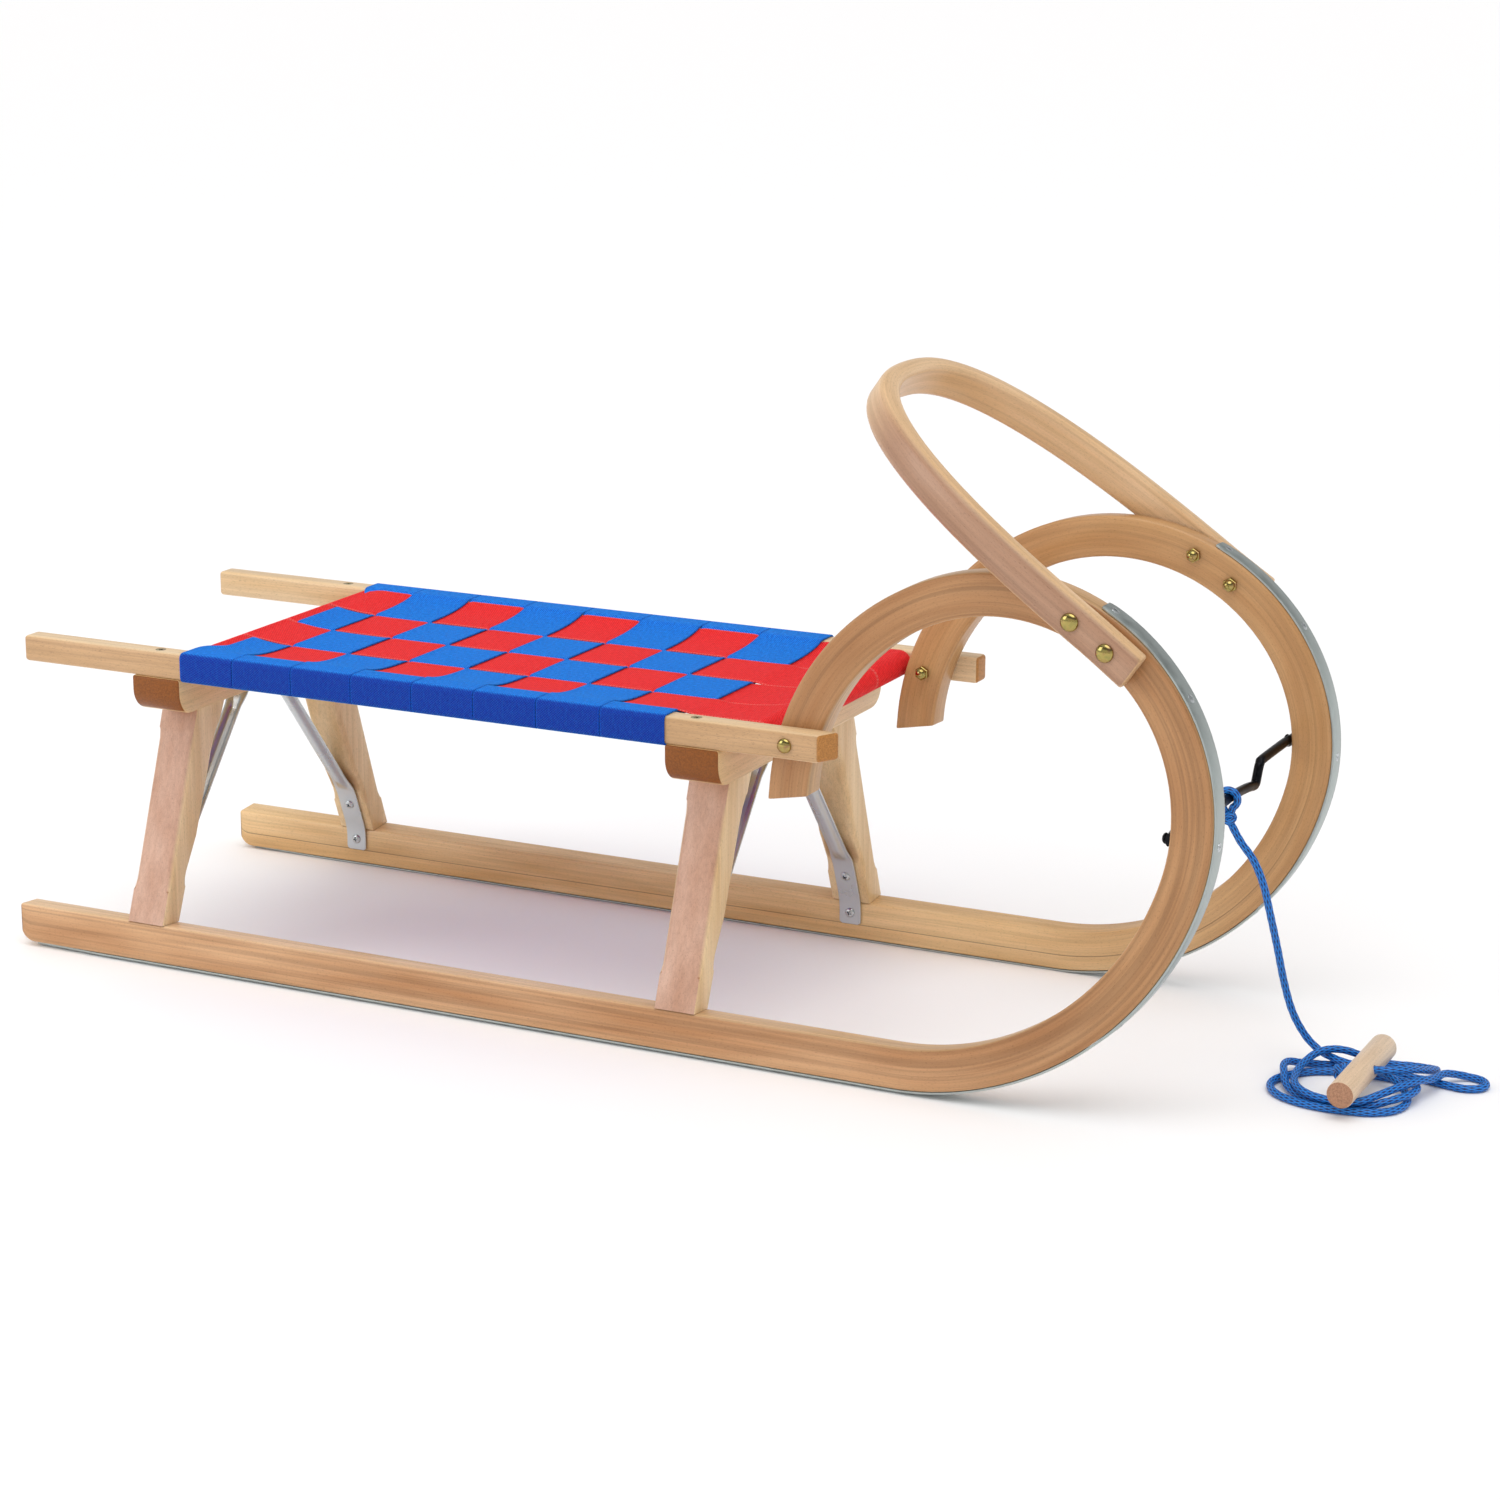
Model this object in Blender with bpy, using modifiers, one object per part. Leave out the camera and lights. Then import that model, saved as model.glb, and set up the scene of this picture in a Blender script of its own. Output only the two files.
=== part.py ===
"""Horn sled: a wooden toboggan with bent runners, a woven seat, a hoop handle and a pull rope.

Sizes are in metres. Lengths along the sled are measured from the rear end of the runners,
heights from the underside of the runners' wood, and widths from the middle of the sled.
An empty then moves the whole sled, so that it stands on z = 0 with its middle at x = 0.
"""
import math

import bmesh
import bpy
import numpy as np
from mathutils import Matrix, Vector

# Clearances
GAP = 0.0003
HOLE_CLEARANCE = 0.0006

# Runners: a straight sole that curls up into the horn, one bend after the other
RUNNER_HEIGHT = 0.036
RUNNER_THICKNESS = 0.0264
RUNNER_STRAIGHT = 0.8834
HORN_RADII = (0.2647, 0.1890, 0.1914, 0.2201)
HORN_ANGLES = (75.1, 60.7, 69.2, 60.5)
HORN_TAIL = 0.0133
HORN_TAIL_INNER = 0.0036
HORN_STEP = 6.6
RUNNER_OUTER = 0.194
HORN_LEAN = 0.0481
HORN_LEAN_LENGTH = 0.7550
RUNNER_EDGE = 0.002
RUNNER_HEEL = 0.012

# Steel shoes under the runners
SHOE_WIDTH = 0.0235
SHOE_THICKNESS = 0.002
SHOE_REAR = 0.014
SHOE_TURN = 153.9

# Legs and beams
LEG_WIDTH = 0.0384
LEG_SPLAY = 0.349
LEG_INNER = ((0.0, 0.0), (0.044, 0.0176), (0.074, 0.0356), (0.150, 0.0646), (0.193, 0.0856))
LEG_EDGE_ENDS = 0.001
LEG_EDGE_MIDDLE = 0.0055
LEG_STOP_LOW = 0.034
LEG_STOP_HIGH = 0.160
TENON_DIAMETER = 0.015
TENON_LENGTH = 0.016
REAR_LEG_X = 0.1402
FRONT_LEG_X = 0.6829
BEAM_LEG_OFFSET = 0.0030
BEAM_WIDTH = 0.0508
BEAM_HEIGHT = 0.034
BEAM_NOSE = 0.021
BEAM_EDGE = 0.002

# Seat rails
RAIL_BOTTOM = 0.2644
RAIL_HEIGHT = 0.0239
RAIL_WIDTH = 0.0212
RAIL_TO_HORN = 0.0011
RAIL_REAR = -0.0014
RAIL_FRONT = 0.8116
RAIL_EDGE = 0.0034

# Round bars that carry the lengthwise straps
BAR_DIAMETER = 0.020
BAR_SOCKET = 0.010
BAR_RISE = 0.0002
REAR_BAR_X = 0.1765
FRONT_BAR_X = 0.7380

# Woven seat
STRAP_THICKNESS = 0.0014
STRAP_GAP = 0.0004
STRAP_WIDTH = 0.0597
SEAT_REAR = 0.1651
SEAT_FRONT = 0.6617
CROSS_STRAPS = 8
LONG_STRAPS = 4
LONG_GAP = 0.0089
LONG_TO_RAIL = 0.00865
SEAT_SAG = 0.0065
STRAP_TAIL = 0.016

# Steel braces between legs and beams
BRACE_SHEET = 0.002
BRACE_PLATE_WIDTH = 0.020
BRACE_STRUT_WIDTH = 0.0155
BRACE_END_WIDTH = 0.0172
BRACE_CHANNEL = 0.0045
BRACE_FOOT = 0.0145
BRACE_KNEE = 0.080
BRACE_TOP_BEND = 0.027
BRACE_TOP_END = 0.005
BRACE_SCREW = 0.065

# Hoop handle, in its own tilted plane: u runs up along the arms from the plane's base point
BOW_TILT = 34.9
BOW_BASE_X = 1.2742
BOW_BASE_Z = 0.2305
BOW_WIDTH = 0.032
BOW_THICKNESS = 0.018
BOW_START = 0.2447
BOW_BEND = 0.2870
BOW_TOP = 0.5865
BOW_SQUARENESS = 2.48
BOW_TWIST_LENGTH = 0.06
BOW_STANDOFF = 0.0006
BOW_STEPS = 13
BOW_OUTER_EDGE = 0.008
BOW_INNER_EDGE = 0.004
BOW_END_EDGE = 0.003
BOW_BOLTS = (0.2711, 0.3086)

# Bolts, nuts and screws
BOW_BOLT_DIAMETER = 0.006
BOW_BOLT_HEAD = 0.0155
TIP_BOLT_DIAMETER = 0.005
TIP_BOLT_HEAD = 0.013
TIP_BOLT_X = 0.7729
BOLT_HEAD_HEIGHT = 0.0042
NUT_ACROSS = 0.0112
NUT_HEIGHT = 0.0095
THREAD_IN_NUT = 0.005
RAIL_SCREW_HEAD = 0.0085
RAIL_SCREW_DIAMETER = 0.0048
RAIL_SCREW_LENGTH = 0.045
BRACE_SCREW_HEAD = 0.0085
BRACE_SCREW_DIAMETER = 0.0042
BRACE_SCREW_LENGTH = 0.018
BRACE_SCREW_CROWN = 0.0014

# Steel bar between the horns, which holds the rope
ROPE_BAR_DIAMETER = 0.0084
ROPE_BAR_TURN = 90.3
ROPE_BAR_STANDOFF = 0.0006
ROPE_BAR_EYE = 0.016
ROPE_BAR_EYE_THICKNESS = 0.004
ROPE_BAR_CRANK_Y = 0.080
ROPE_BAR_DROP = 0.0225
ROPE_BAR_ARCH = 0.0065
ROPE_BAR_BACK = 0.0055
BAR_SCREW_HEAD = 0.011
BAR_SCREW_DIAMETER = 0.005
BAR_SCREW_LENGTH = 0.022
BAR_SCREW_CROWN = 0.0036

# Rope and its handle; heights on the floor are measured from the floor itself
ROPE_DIAMETER = 0.006
KNOT_Y = 0.004
KNOT_LOOP_HEIGHT = 0.0225
KNOT_LOOP_WIDTH = 0.0165
KNOT_BALL = 0.0115
HANDLE_DIAMETER = 0.023
HANDLE_LENGTH = 0.120
HANDLE_HOLE = 0.0072
HANDLE_MIDDLE = (1.2365, -0.0310, 0.0255)
HANDLE_TURN = 89.5
HANDLE_RISE = 1.9
HANDLE_HOLE_RISE = 12.0
STOPPER_KNOT = 0.013

ROPE_HANG = (
    (1.1130, 0.0046, 0.1960), (1.1240, 0.0072, 0.1805), (1.1325, 0.0098, 0.1600),
    (1.1382, 0.0138, 0.1340), (1.1438, 0.0196, 0.1040), (1.1490, 0.0263, 0.0720),
    (1.1560, 0.0313, 0.0450), (1.1665, 0.0350, 0.0250))
ROPE_MEETING = (1.1780, 0.0360, 0.0140)
ROPE_FLOOR = (
    (1.1900, 0.0310, 0.0108), (1.2040, 0.0240, 0.0103), (1.2200, 0.0180, 0.0108),
    (1.2360, 0.0130, 0.0114), (1.2510, 0.0050, 0.0105), (1.2640, -0.0070, 0.0075),
    (1.2735, -0.0220, 0.0042), (1.2750, -0.0390, 0.0034), (1.2690, -0.0545, 0.0034),
    (1.2550, -0.0655, 0.0034), (1.2370, -0.0705, 0.0034), (1.2190, -0.0720, 0.0034),
    (1.2000, -0.0700, 0.0034), (1.1810, -0.0630, 0.0034), (1.1670, -0.0510, 0.0034),
    (1.1600, -0.0340, 0.0034), (1.1630, -0.0170, 0.0034), (1.1730, -0.0020, 0.0034),
    (1.1860, 0.0100, 0.0034), (1.2030, 0.0170, 0.0034), (1.2250, 0.0210, 0.0034),
    (1.2450, 0.0210, 0.0034), (1.2610, 0.0150, 0.0045), (1.2720, 0.0020, 0.0080),
    (1.2785, -0.0130, 0.0106), (1.2775, -0.0290, 0.0108), (1.2700, -0.0425, 0.0102),
    (1.2600, -0.0510, 0.0078), (1.2490, -0.0570, 0.0042), (1.2360, -0.0605, 0.0034),
    (1.2180, -0.0620, 0.0034), (1.2000, -0.0590, 0.0034), (1.1840, -0.0490, 0.0042),
    (1.1735, -0.0360, 0.0064), (1.1670, -0.0210, 0.0098), (1.1620, -0.0060, 0.0106),
    (1.1620, 0.0080, 0.0090), (1.1700, 0.0200, 0.0052), (1.1820, 0.0280, 0.0034),
    (1.1980, 0.0320, 0.0034), (1.2160, 0.0340, 0.0034), (1.2360, 0.0340, 0.0034),
    (1.2560, 0.0320, 0.0034), (1.2760, 0.0300, 0.0034), (1.2930, 0.0260, 0.0034),
    (1.3080, 0.0245, 0.0034), (1.3195, 0.0300, 0.0034), (1.3225, 0.0405, 0.0034),
    (1.3165, 0.0505, 0.0034), (1.3050, 0.0530, 0.0038), (1.2950, 0.0460, 0.0068),
    (1.2890, 0.0340, 0.0104), (1.2865, 0.0200, 0.0118), (1.2845, 0.0050, 0.0142),
    (1.2805, -0.0090, 0.0170), (1.2745, -0.0230, 0.0176), (1.2665, -0.0370, 0.0166),
    (1.2570, -0.0500, 0.0140), (1.2470, -0.0605, 0.0108), (1.2360, -0.0655, 0.0094),
    (1.2190, -0.0675, 0.0094), (1.2030, -0.0645, 0.0102), (1.1900, -0.0545, 0.0108),
    (1.1820, -0.0405, 0.0108), (1.1780, -0.0250, 0.0106), (1.1760, -0.0090, 0.0108),
    (1.1770, 0.0060, 0.0124), (1.1820, 0.0190, 0.0160), (1.1910, 0.0290, 0.0178),
    (1.2030, 0.0360, 0.0164), (1.2160, 0.0425, 0.0112), (1.2280, 0.0490, 0.0064),
    (1.2400, 0.0550, 0.0038), (1.2530, 0.0590, 0.0034), (1.2660, 0.0585, 0.0038),
    (1.2760, 0.0520, 0.0060), (1.2795, 0.0410, 0.0096), (1.2785, 0.0280, 0.0138),
    (1.2770, 0.0140, 0.0182), (1.2750, 0.0000, 0.0226), (1.2715, -0.0125, 0.0262),
    (1.2660, -0.0230, 0.0284), (1.2580, -0.0292, 0.0286))

# Sizes that follow from the ones above
FLOOR = -(GAP + SHOE_THICKNESS)
RAIL_INNER = RUNNER_OUTER - HORN_LEAN + RAIL_TO_HORN
LONG_WIDTH = (2 * (RAIL_INNER - LONG_TO_RAIL) - (LONG_STRAPS - 1) * LONG_GAP) / LONG_STRAPS
LONG_PITCH = LONG_WIDTH + LONG_GAP
LEG_BOTTOM = RUNNER_HEIGHT + GAP
BEAM_BOTTOM = RAIL_BOTTOM - GAP - BEAM_HEIGHT
LEG_TOP = BEAM_BOTTOM - GAP
RAIL_OUTER = RAIL_INNER + RAIL_WIDTH
RAIL_TOP = RAIL_BOTTOM + RAIL_HEIGHT
REAR_BEAM_X = REAR_LEG_X + BEAM_LEG_OFFSET
FRONT_BEAM_X = FRONT_LEG_X + BEAM_LEG_OFFSET
BAR_Z = RAIL_BOTTOM + RAIL_HEIGHT / 2 + BAR_RISE
WEAVE = (STRAP_THICKNESS + STRAP_GAP) / 2
STRAP_LIFT = GAP + STRAP_THICKNESS / 2
STRAP_TURN = 30
SNUG = (BAR_DIAMETER / 2 + GAP) / math.cos(math.radians(STRAP_TURN / 2)) + STRAP_THICKNESS / 2
SEAT_LEVEL = BAR_Z + SNUG + WEAVE
CROSS_PITCH = (SEAT_FRONT - SEAT_REAR) / CROSS_STRAPS
FIRST_STRAP_REAR = REAR_BAR_X - BAR_DIAMETER / 4
BEECH = ((0.55, 0.34, 0.19), 0.5, 0.0)
BEECH_PALE = ((0.66, 0.46, 0.28), 0.5, 0.0)
BEECH_PINK = ((0.60, 0.38, 0.26), 0.5, 0.0)
BLUE_WEB = ((0.01, 0.10, 0.62), 0.75, 0.0)
RED_WEB = ((0.72, 0.02, 0.02), 0.75, 0.0)
GALVANISED = ((0.42, 0.43, 0.44), 0.4, 1.0)
YELLOW_ZINC = ((0.62, 0.50, 0.22), 0.25, 1.0)
BLACK_STEEL = ((0.02, 0.02, 0.02), 0.4, 1.0)
BLUE_ROPE = ((0.0, 0.08, 0.45), 0.8, 0.0)

for thing in list(bpy.data.objects):
    bpy.data.objects.remove(thing, do_unlink=True)

parts = bpy.data.collections.new("horn_sled")
cutters = bpy.data.collections.new("cutters")
bpy.context.scene.collection.children.link(parts)
bpy.context.scene.collection.children.link(cutters)
sled = bpy.data.objects.new("sled_origin", None)
parts.objects.link(sled)


# Shared helpers

def material(name, look):
    """The Principled material of one finish, made once."""
    found = bpy.data.materials.get(name)
    if found:
        return found
    colour, roughness, metallic = look
    made = bpy.data.materials.new(name)
    made.use_nodes = True
    shader = made.node_tree.nodes["Principled BSDF"]
    shader.inputs["Base Color"].default_value = (*colour, 1.0)
    shader.inputs["Roughness"].default_value = roughness
    shader.inputs["Metallic"].default_value = metallic
    made.diffuse_color = (*colour, 1.0)
    return made


def add_part(name, mesh, look, smooth=None):
    """A named sub-part of the sled with its own material."""
    made = bpy.data.objects.new(name, mesh)
    parts.objects.link(made)
    made.parent = sled
    made.data.materials.clear()
    made.data.materials.append(material(name + "_finish", look))
    if smooth:
        mesh.shade_smooth()
        mesh.set_sharp_from_angle(angle=math.radians(smooth))
    return made


def mesh_from(bm, name):
    """A mesh with its faces pointing out."""
    bmesh.ops.recalc_face_normals(bm, faces=bm.faces)
    mesh = bpy.data.meshes.new(name)
    bm.to_mesh(mesh)
    bm.free()
    return mesh


def loft(name, rings):
    """A closed skin through rings of equally many points, with flat ends."""
    bm = bmesh.new()
    rows = [[bm.verts.new(point) for point in ring] for ring in rings]
    count = len(rings[0])
    for row, following in zip(rows, rows[1:]):
        for i in range(count):
            j = (i + 1) % count
            bm.faces.new((row[i], row[j], following[j], following[i]))
    bm.faces.new(rows[0])
    bm.faces.new(rows[-1])
    return mesh_from(bm, name)


def block(name, low, high):
    """A box between two corners."""
    bm = bmesh.new()
    bmesh.ops.create_cube(bm, size=1.0)
    size = Vector(high) - Vector(low)
    bmesh.ops.scale(bm, vec=size, verts=bm.verts)
    bmesh.ops.translate(bm, vec=(Vector(high) + Vector(low)) / 2, verts=bm.verts)
    return mesh_from(bm, name)


def bevel(thing, width, segments):
    """Rounded edges, all of them."""
    tool = thing.modifiers.new("edges", "BEVEL")
    tool.width = width
    tool.segments = segments
    tool.limit_method = "ANGLE"
    tool.angle_limit = math.radians(40)


def bevel_edges(mesh, width, segments, chosen):
    """Rounded edges where chosen(edge) says so, made in the mesh itself."""
    bm = bmesh.new()
    bm.from_mesh(mesh)
    edges = [edge for edge in bm.edges if chosen(edge)]
    bmesh.ops.bevel(bm, geom=edges, offset=width, segments=segments, profile=0.5, affect="EDGES")
    bm.to_mesh(mesh)
    bm.free()


def rod(name, centre, axis, diameter, length, sides=16):
    """A cylinder about a point, along an axis."""
    bm = bmesh.new()
    turn = Vector((0, 0, 1)).rotation_difference(Vector(axis)).to_matrix().to_4x4()
    place = Matrix.Translation(Vector(centre)) @ turn
    bmesh.ops.create_cone(bm, cap_ends=True, segments=sides, radius1=diameter / 2,
                          radius2=diameter / 2, depth=length, matrix=place)
    return mesh_from(bm, name)


def cut(target, mesh):
    """Takes a cutter's shape out of a part."""
    tool = bpy.data.objects.new("cut_" + mesh.name, mesh)
    cutters.objects.link(tool)
    tool.parent = sled
    tool.hide_render = True
    tool.display_type = "WIRE"
    hole = target.modifiers.new("cut", "BOOLEAN")
    hole.operation = "DIFFERENCE"
    hole.solver = "EXACT"
    hole.object = tool


def join(target, mesh):
    """Adds another shape to a part as one solid."""
    cut(target, mesh)
    target.modifiers[-1].operation = "UNION"


def turned(name, profile, place, steps, look):
    """A turned piece: profile of (radius, height) from the top down its outer side."""
    points = [Vector((radius, 0, height)) for radius, height in profile]
    bm = bmesh.new()
    verts = [bm.verts.new(point) for point in points]
    for first, second in zip(verts, verts[1:]):
        bm.edges.new((first, second))
    mesh = bpy.data.meshes.new(name)
    bm.to_mesh(mesh)
    bm.free()
    made = add_part(name, mesh, look)
    screw = made.modifiers.new("turn", "SCREW")
    screw.steps = steps
    screw.render_steps = steps
    screw.use_merge_vertices = True
    screw.merge_threshold = 0.00002
    made.matrix_basis = place
    return made


def standing(point, axis):
    """A placement whose own +Z points along axis."""
    turn = Vector((0, 0, 1)).rotation_difference(Vector(axis)).to_matrix().to_4x4()
    return Matrix.Translation(Vector(point)) @ turn


def smooth_route(points, step, before=None, after=None):
    """A smooth curve through a route's own points, read about every step."""
    route = [Vector(p) for p in points]
    first = Vector(before) if before else 2 * route[0] - route[1]
    last = Vector(after) if after else 2 * route[-1] - route[-2]
    ends = [first] + route + [last]
    found = []
    for a, b, c, d in zip(ends, ends[1:], ends[2:], ends[3:]):
        count = max(1, round((c - b).length / step))
        for k in range(count):
            t = k / count
            found.append(0.5 * (2 * b + (c - a) * t + (2 * a - 5 * b + 4 * c - d) * t * t
                                + (3 * b - a - 3 * c + d) * t ** 3))
    return found + [route[-1]]


def tube_mesh(name, points, diameter, resolution, cyclic=False):
    """A round bar or rope along points, as a mesh with welded caps."""
    curve = bpy.data.curves.new(name, "CURVE")
    curve.dimensions = "3D"
    curve.bevel_depth = diameter / 2
    curve.bevel_resolution = resolution
    curve.use_fill_caps = True
    line = curve.splines.new("POLY")
    line.points.add(len(points) - 1)
    for spot, point in zip(line.points, points):
        spot.co = (*point, 1.0)
    line.use_cyclic_u = cyclic
    holder = bpy.data.objects.new(name, curve)
    cutters.objects.link(holder)
    bpy.context.view_layer.update()
    mesh = bpy.data.meshes.new_from_object(holder.evaluated_get(bpy.context.evaluated_depsgraph_get()))
    bpy.data.objects.remove(holder, do_unlink=True)
    bm = bmesh.new()
    bm.from_mesh(mesh)
    bmesh.ops.remove_doubles(bm, verts=bm.verts, dist=0.00001)
    bmesh.ops.recalc_face_normals(bm, faces=bm.faces)
    bm.to_mesh(mesh)
    bm.free()
    mesh.name = name
    return mesh


def on_floor(point):
    """A rope point whose height is given above the floor."""
    return (point[0], point[1], point[2] + FLOOR)


# The runner's curve

def horn_path():
    """Points (x, z), headings and lengths along the sole of a runner."""
    heel = RUNNER_HEEL
    stops = [0.0, heel * 0.13, heel * 0.5, heel]
    stops += [heel + (RUNNER_STRAIGHT - heel) * k / 3 for k in (1, 2, 3)]
    path = [((x, 0.0), 0.0, x) for x in stops]
    x, z, heading, length = RUNNER_STRAIGHT, 0.0, 0.0, RUNNER_STRAIGHT
    for radius, degrees in zip(HORN_RADII, HORN_ANGLES):
        angle = math.radians(degrees)
        middle = (x - radius * math.sin(heading), z + radius * math.cos(heading))
        count = max(1, round(degrees / HORN_STEP))
        for k in range(1, count + 1):
            turn = heading + angle * k / count
            spot = (middle[0] + radius * math.sin(turn), middle[1] - radius * math.cos(turn))
            path.append((spot, turn, length + radius * angle * k / count))
        (x, z), heading, length = path[-1]
    end = (x + HORN_TAIL * math.cos(heading), z + HORN_TAIL * math.sin(heading))
    path.append((end, heading, length + HORN_TAIL))
    return path


def sole_at(length):
    """Place and heading on the sole at a length along it."""
    for (spot, turn, start), (following, turn2, stop) in zip(PATH, PATH[1:]):
        if length <= stop or following == PATH[-1][0]:
            t = (length - start) / (stop - start)
            bend = turn2 - turn
            chord = Vector(following) - Vector(spot)
            place = Vector(spot) + chord * t
            if bend > 1e-6:
                radius = (stop - start) / bend
                centre = Vector(spot) + radius * Vector((-math.sin(turn), math.cos(turn)))
                here = turn + bend * t
                place = centre + radius * Vector((math.sin(here), -math.cos(here)))
            return place, turn + bend * t
    return None


def length_at_turn(degrees):
    """The length along the sole where the runner has turned through an angle."""
    length, left = RUNNER_STRAIGHT, degrees
    for radius, angle in zip(HORN_RADII, HORN_ANGLES):
        step = min(left, angle)
        length += radius * math.radians(step)
        left -= step
    return length


def lean(length):
    """How far inwards the horn leans, at a length along the sole."""
    t = min(max((length - RUNNER_STRAIGHT) / HORN_LEAN_LENGTH, 0.0), 1.0)
    return HORN_LEAN * t * t * (3 - 2 * t)


def nearest_length(x, z):
    """The length along the runner that lies nearest to a side-view point."""
    best = (9.0, 0.0)
    for a, b in zip(MIDDLE, MIDDLE[1:]):
        start, stop = Vector(a[0]), Vector(b[0])
        line = stop - start
        t = min(max((Vector((x, z)) - start).dot(line) / line.length_squared, 0.0), 1.0)
        away = (start + line * t - Vector((x, z))).length
        if away < best[0] and b[1] > RUNNER_STRAIGHT:
            best = (away, a[1] + (b[1] - a[1]) * t)
    return best[1]


def horn_face(x, z):
    """Half-width of the horn's outer face near a side-view point."""
    return RUNNER_OUTER - lean(nearest_length(x, z))


PATH = horn_path()
MIDDLE = [((spot[0] - math.sin(turn) * RUNNER_HEIGHT / 2,
            spot[1] + math.cos(turn) * RUNNER_HEIGHT / 2), length) for spot, turn, length in PATH]


def across(spot, turn, height, y):
    """A point at a height off the sole, square to the runner."""
    return (spot[0] - math.sin(turn) * height, y, spot[1] + math.cos(turn) * height)


def runner(side):
    """One runner with its horn, cut for the leg tenons, bolts and bar screw."""
    name = "runner_" + SIDES[side]
    edge = RUNNER_EDGE
    rings = []
    for spot, turn, length in PATH:
        slant = (HORN_TAIL - HORN_TAIL_INNER) / RUNNER_HEIGHT if length == PATH[-1][2] else 0.0
        outer = RUNNER_OUTER - lean(length)
        inner = outer - RUNNER_THICKNESS
        heel = max(RUNNER_HEEL - spot[0], 0.0)
        low = RUNNER_HEEL - math.sqrt(RUNNER_HEEL ** 2 - heel ** 2)
        high = RUNNER_HEIGHT
        corners = ((low, inner + edge), (low, outer - edge), (low + edge, outer),
                   (high - edge, outer), (high, outer - edge), (high, inner + edge),
                   (high - edge, inner), (low + edge, inner))
        ring = [Vector(across(spot, turn, h, side * y)) for h, y in corners]
        back = Vector((math.cos(turn), 0, math.sin(turn))) * slant
        rings.append([point - back * h for point, (h, _) in zip(ring, corners)])
    made = add_part(name, loft(name, rings), BEECH, 35)
    for leg_x in (REAR_LEG_X, FRONT_LEG_X):
        socket = TENON_LENGTH + GAP
        place = (leg_x, side * (RUNNER_OUTER - RUNNER_THICKNESS / 2), RUNNER_HEIGHT)
        size = TENON_DIAMETER + HOLE_CLEARANCE
        cut(made, rod(name + "_mortise", place, (0, 0, 1), size, 2 * socket))
    for u in BOW_BOLTS:
        centre, axis = bow_bolt_line(u, side)
        hole = BOW_BOLT_DIAMETER + HOLE_CLEARANCE
        cut(made, rod(name + "_bolt_hole", centre, axis, hole, 4 * RUNNER_THICKNESS))
    tip = (TIP_BOLT_X, side * RAIL_INNER, BAR_Z)
    hole = TIP_BOLT_DIAMETER + HOLE_CLEARANCE
    cut(made, rod(name + "_tip_hole", tip, (0, 1, 0), hole, 4 * RUNNER_THICKNESS))
    seat, normal, _ = bar_seat(side)
    hole = BAR_SCREW_DIAMETER + HOLE_CLEARANCE
    depth = BAR_SCREW_LENGTH - ROPE_BAR_EYE_THICKNESS
    cut(made, rod(name + "_bar_hole", seat, normal, hole, 2 * depth))
    return made


def shoe(side):
    """The steel strip under a runner, up the front of its horn."""
    name = "runner_shoe_" + SIDES[side]
    end = length_at_turn(SHOE_TURN)
    stops = [SHOE_REAR] + [p[2] for p in PATH if SHOE_REAR + 0.004 < p[2] < end - 0.004] + [end]
    rings = []
    for length in stops:
        spot, turn = sole_at(length)
        middle = RUNNER_OUTER - RUNNER_THICKNESS / 2 - lean(length)
        low, high = middle - SHOE_WIDTH / 2, middle + SHOE_WIDTH / 2
        under = -GAP - SHOE_THICKNESS
        corners = ((under, low), (under, high), (-GAP, high), (-GAP, low))
        rings.append([across(spot, turn, h, side * y) for h, y in corners])
    return add_part(name, loft(name, rings), GALVANISED, 35)


# Legs, beams, rails and bars

def leg_edges(height):
    """Half-widths of a leg's outer and inner faces at a height above its foot."""
    outer = RUNNER_OUTER - LEG_SPLAY * height
    heights = [h for h, _ in LEG_INNER]
    offsets = [d for _, d in LEG_INNER]
    inner = RUNNER_OUTER - RUNNER_THICKNESS - float(np.interp(height, heights, offsets))
    return outer, inner


def leg(name, side, x):
    """A splayed leg with stopped rounded edges and a round tenon at each end."""
    tall = LEG_TOP - LEG_BOTTOM
    stops = sorted({0.0, LEG_STOP_LOW * 0.6, LEG_STOP_LOW, LEG_STOP_HIGH, LEG_STOP_HIGH + 0.014, tall}
                   | {h for h, _ in LEG_INNER if 0 < h < tall})
    rings = []
    for height in stops:
        outer, inner = leg_edges(height)
        rounded = LEG_STOP_LOW <= height <= LEG_STOP_HIGH
        edge = LEG_EDGE_MIDDLE if rounded else LEG_EDGE_ENDS
        half = LEG_WIDTH / 2
        ring = []
        for sx, y, away in ((-1, outer, -1), (1, outer, -1), (1, inner, 1), (-1, inner, 1)):
            corner = [(sx * (half - edge), y), (sx * (half - 0.29 * edge), y + away * 0.29 * edge),
                      (sx * half, y + away * edge)]
            if (sx < 0) == (away < 0):
                corner.reverse()
            ring += [(x + px, side * py, LEG_BOTTOM + height) for px, py in corner]
        rings.append(ring)
    made = add_part(name, loft(name, rings), BEECH_PINK, 35)
    outer, inner = leg_edges(tall)
    foot = (x, side * (RUNNER_OUTER - RUNNER_THICKNESS / 2), LEG_BOTTOM)
    head = (x, side * (outer + inner) / 2, LEG_TOP)
    for tag, spot in (("_foot_tenon", foot), ("_head_tenon", head)):
        join(made, rod(name + tag, spot, (0, 0, 1), TENON_DIAMETER, 2 * TENON_LENGTH))
    spot, normal = brace_screw_place(side, x)
    hole = BRACE_SCREW_DIAMETER + HOLE_CLEARANCE
    cut(made, rod(name + "_pilot", spot, normal, hole, 2 * BRACE_SCREW_LENGTH))
    return made


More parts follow.
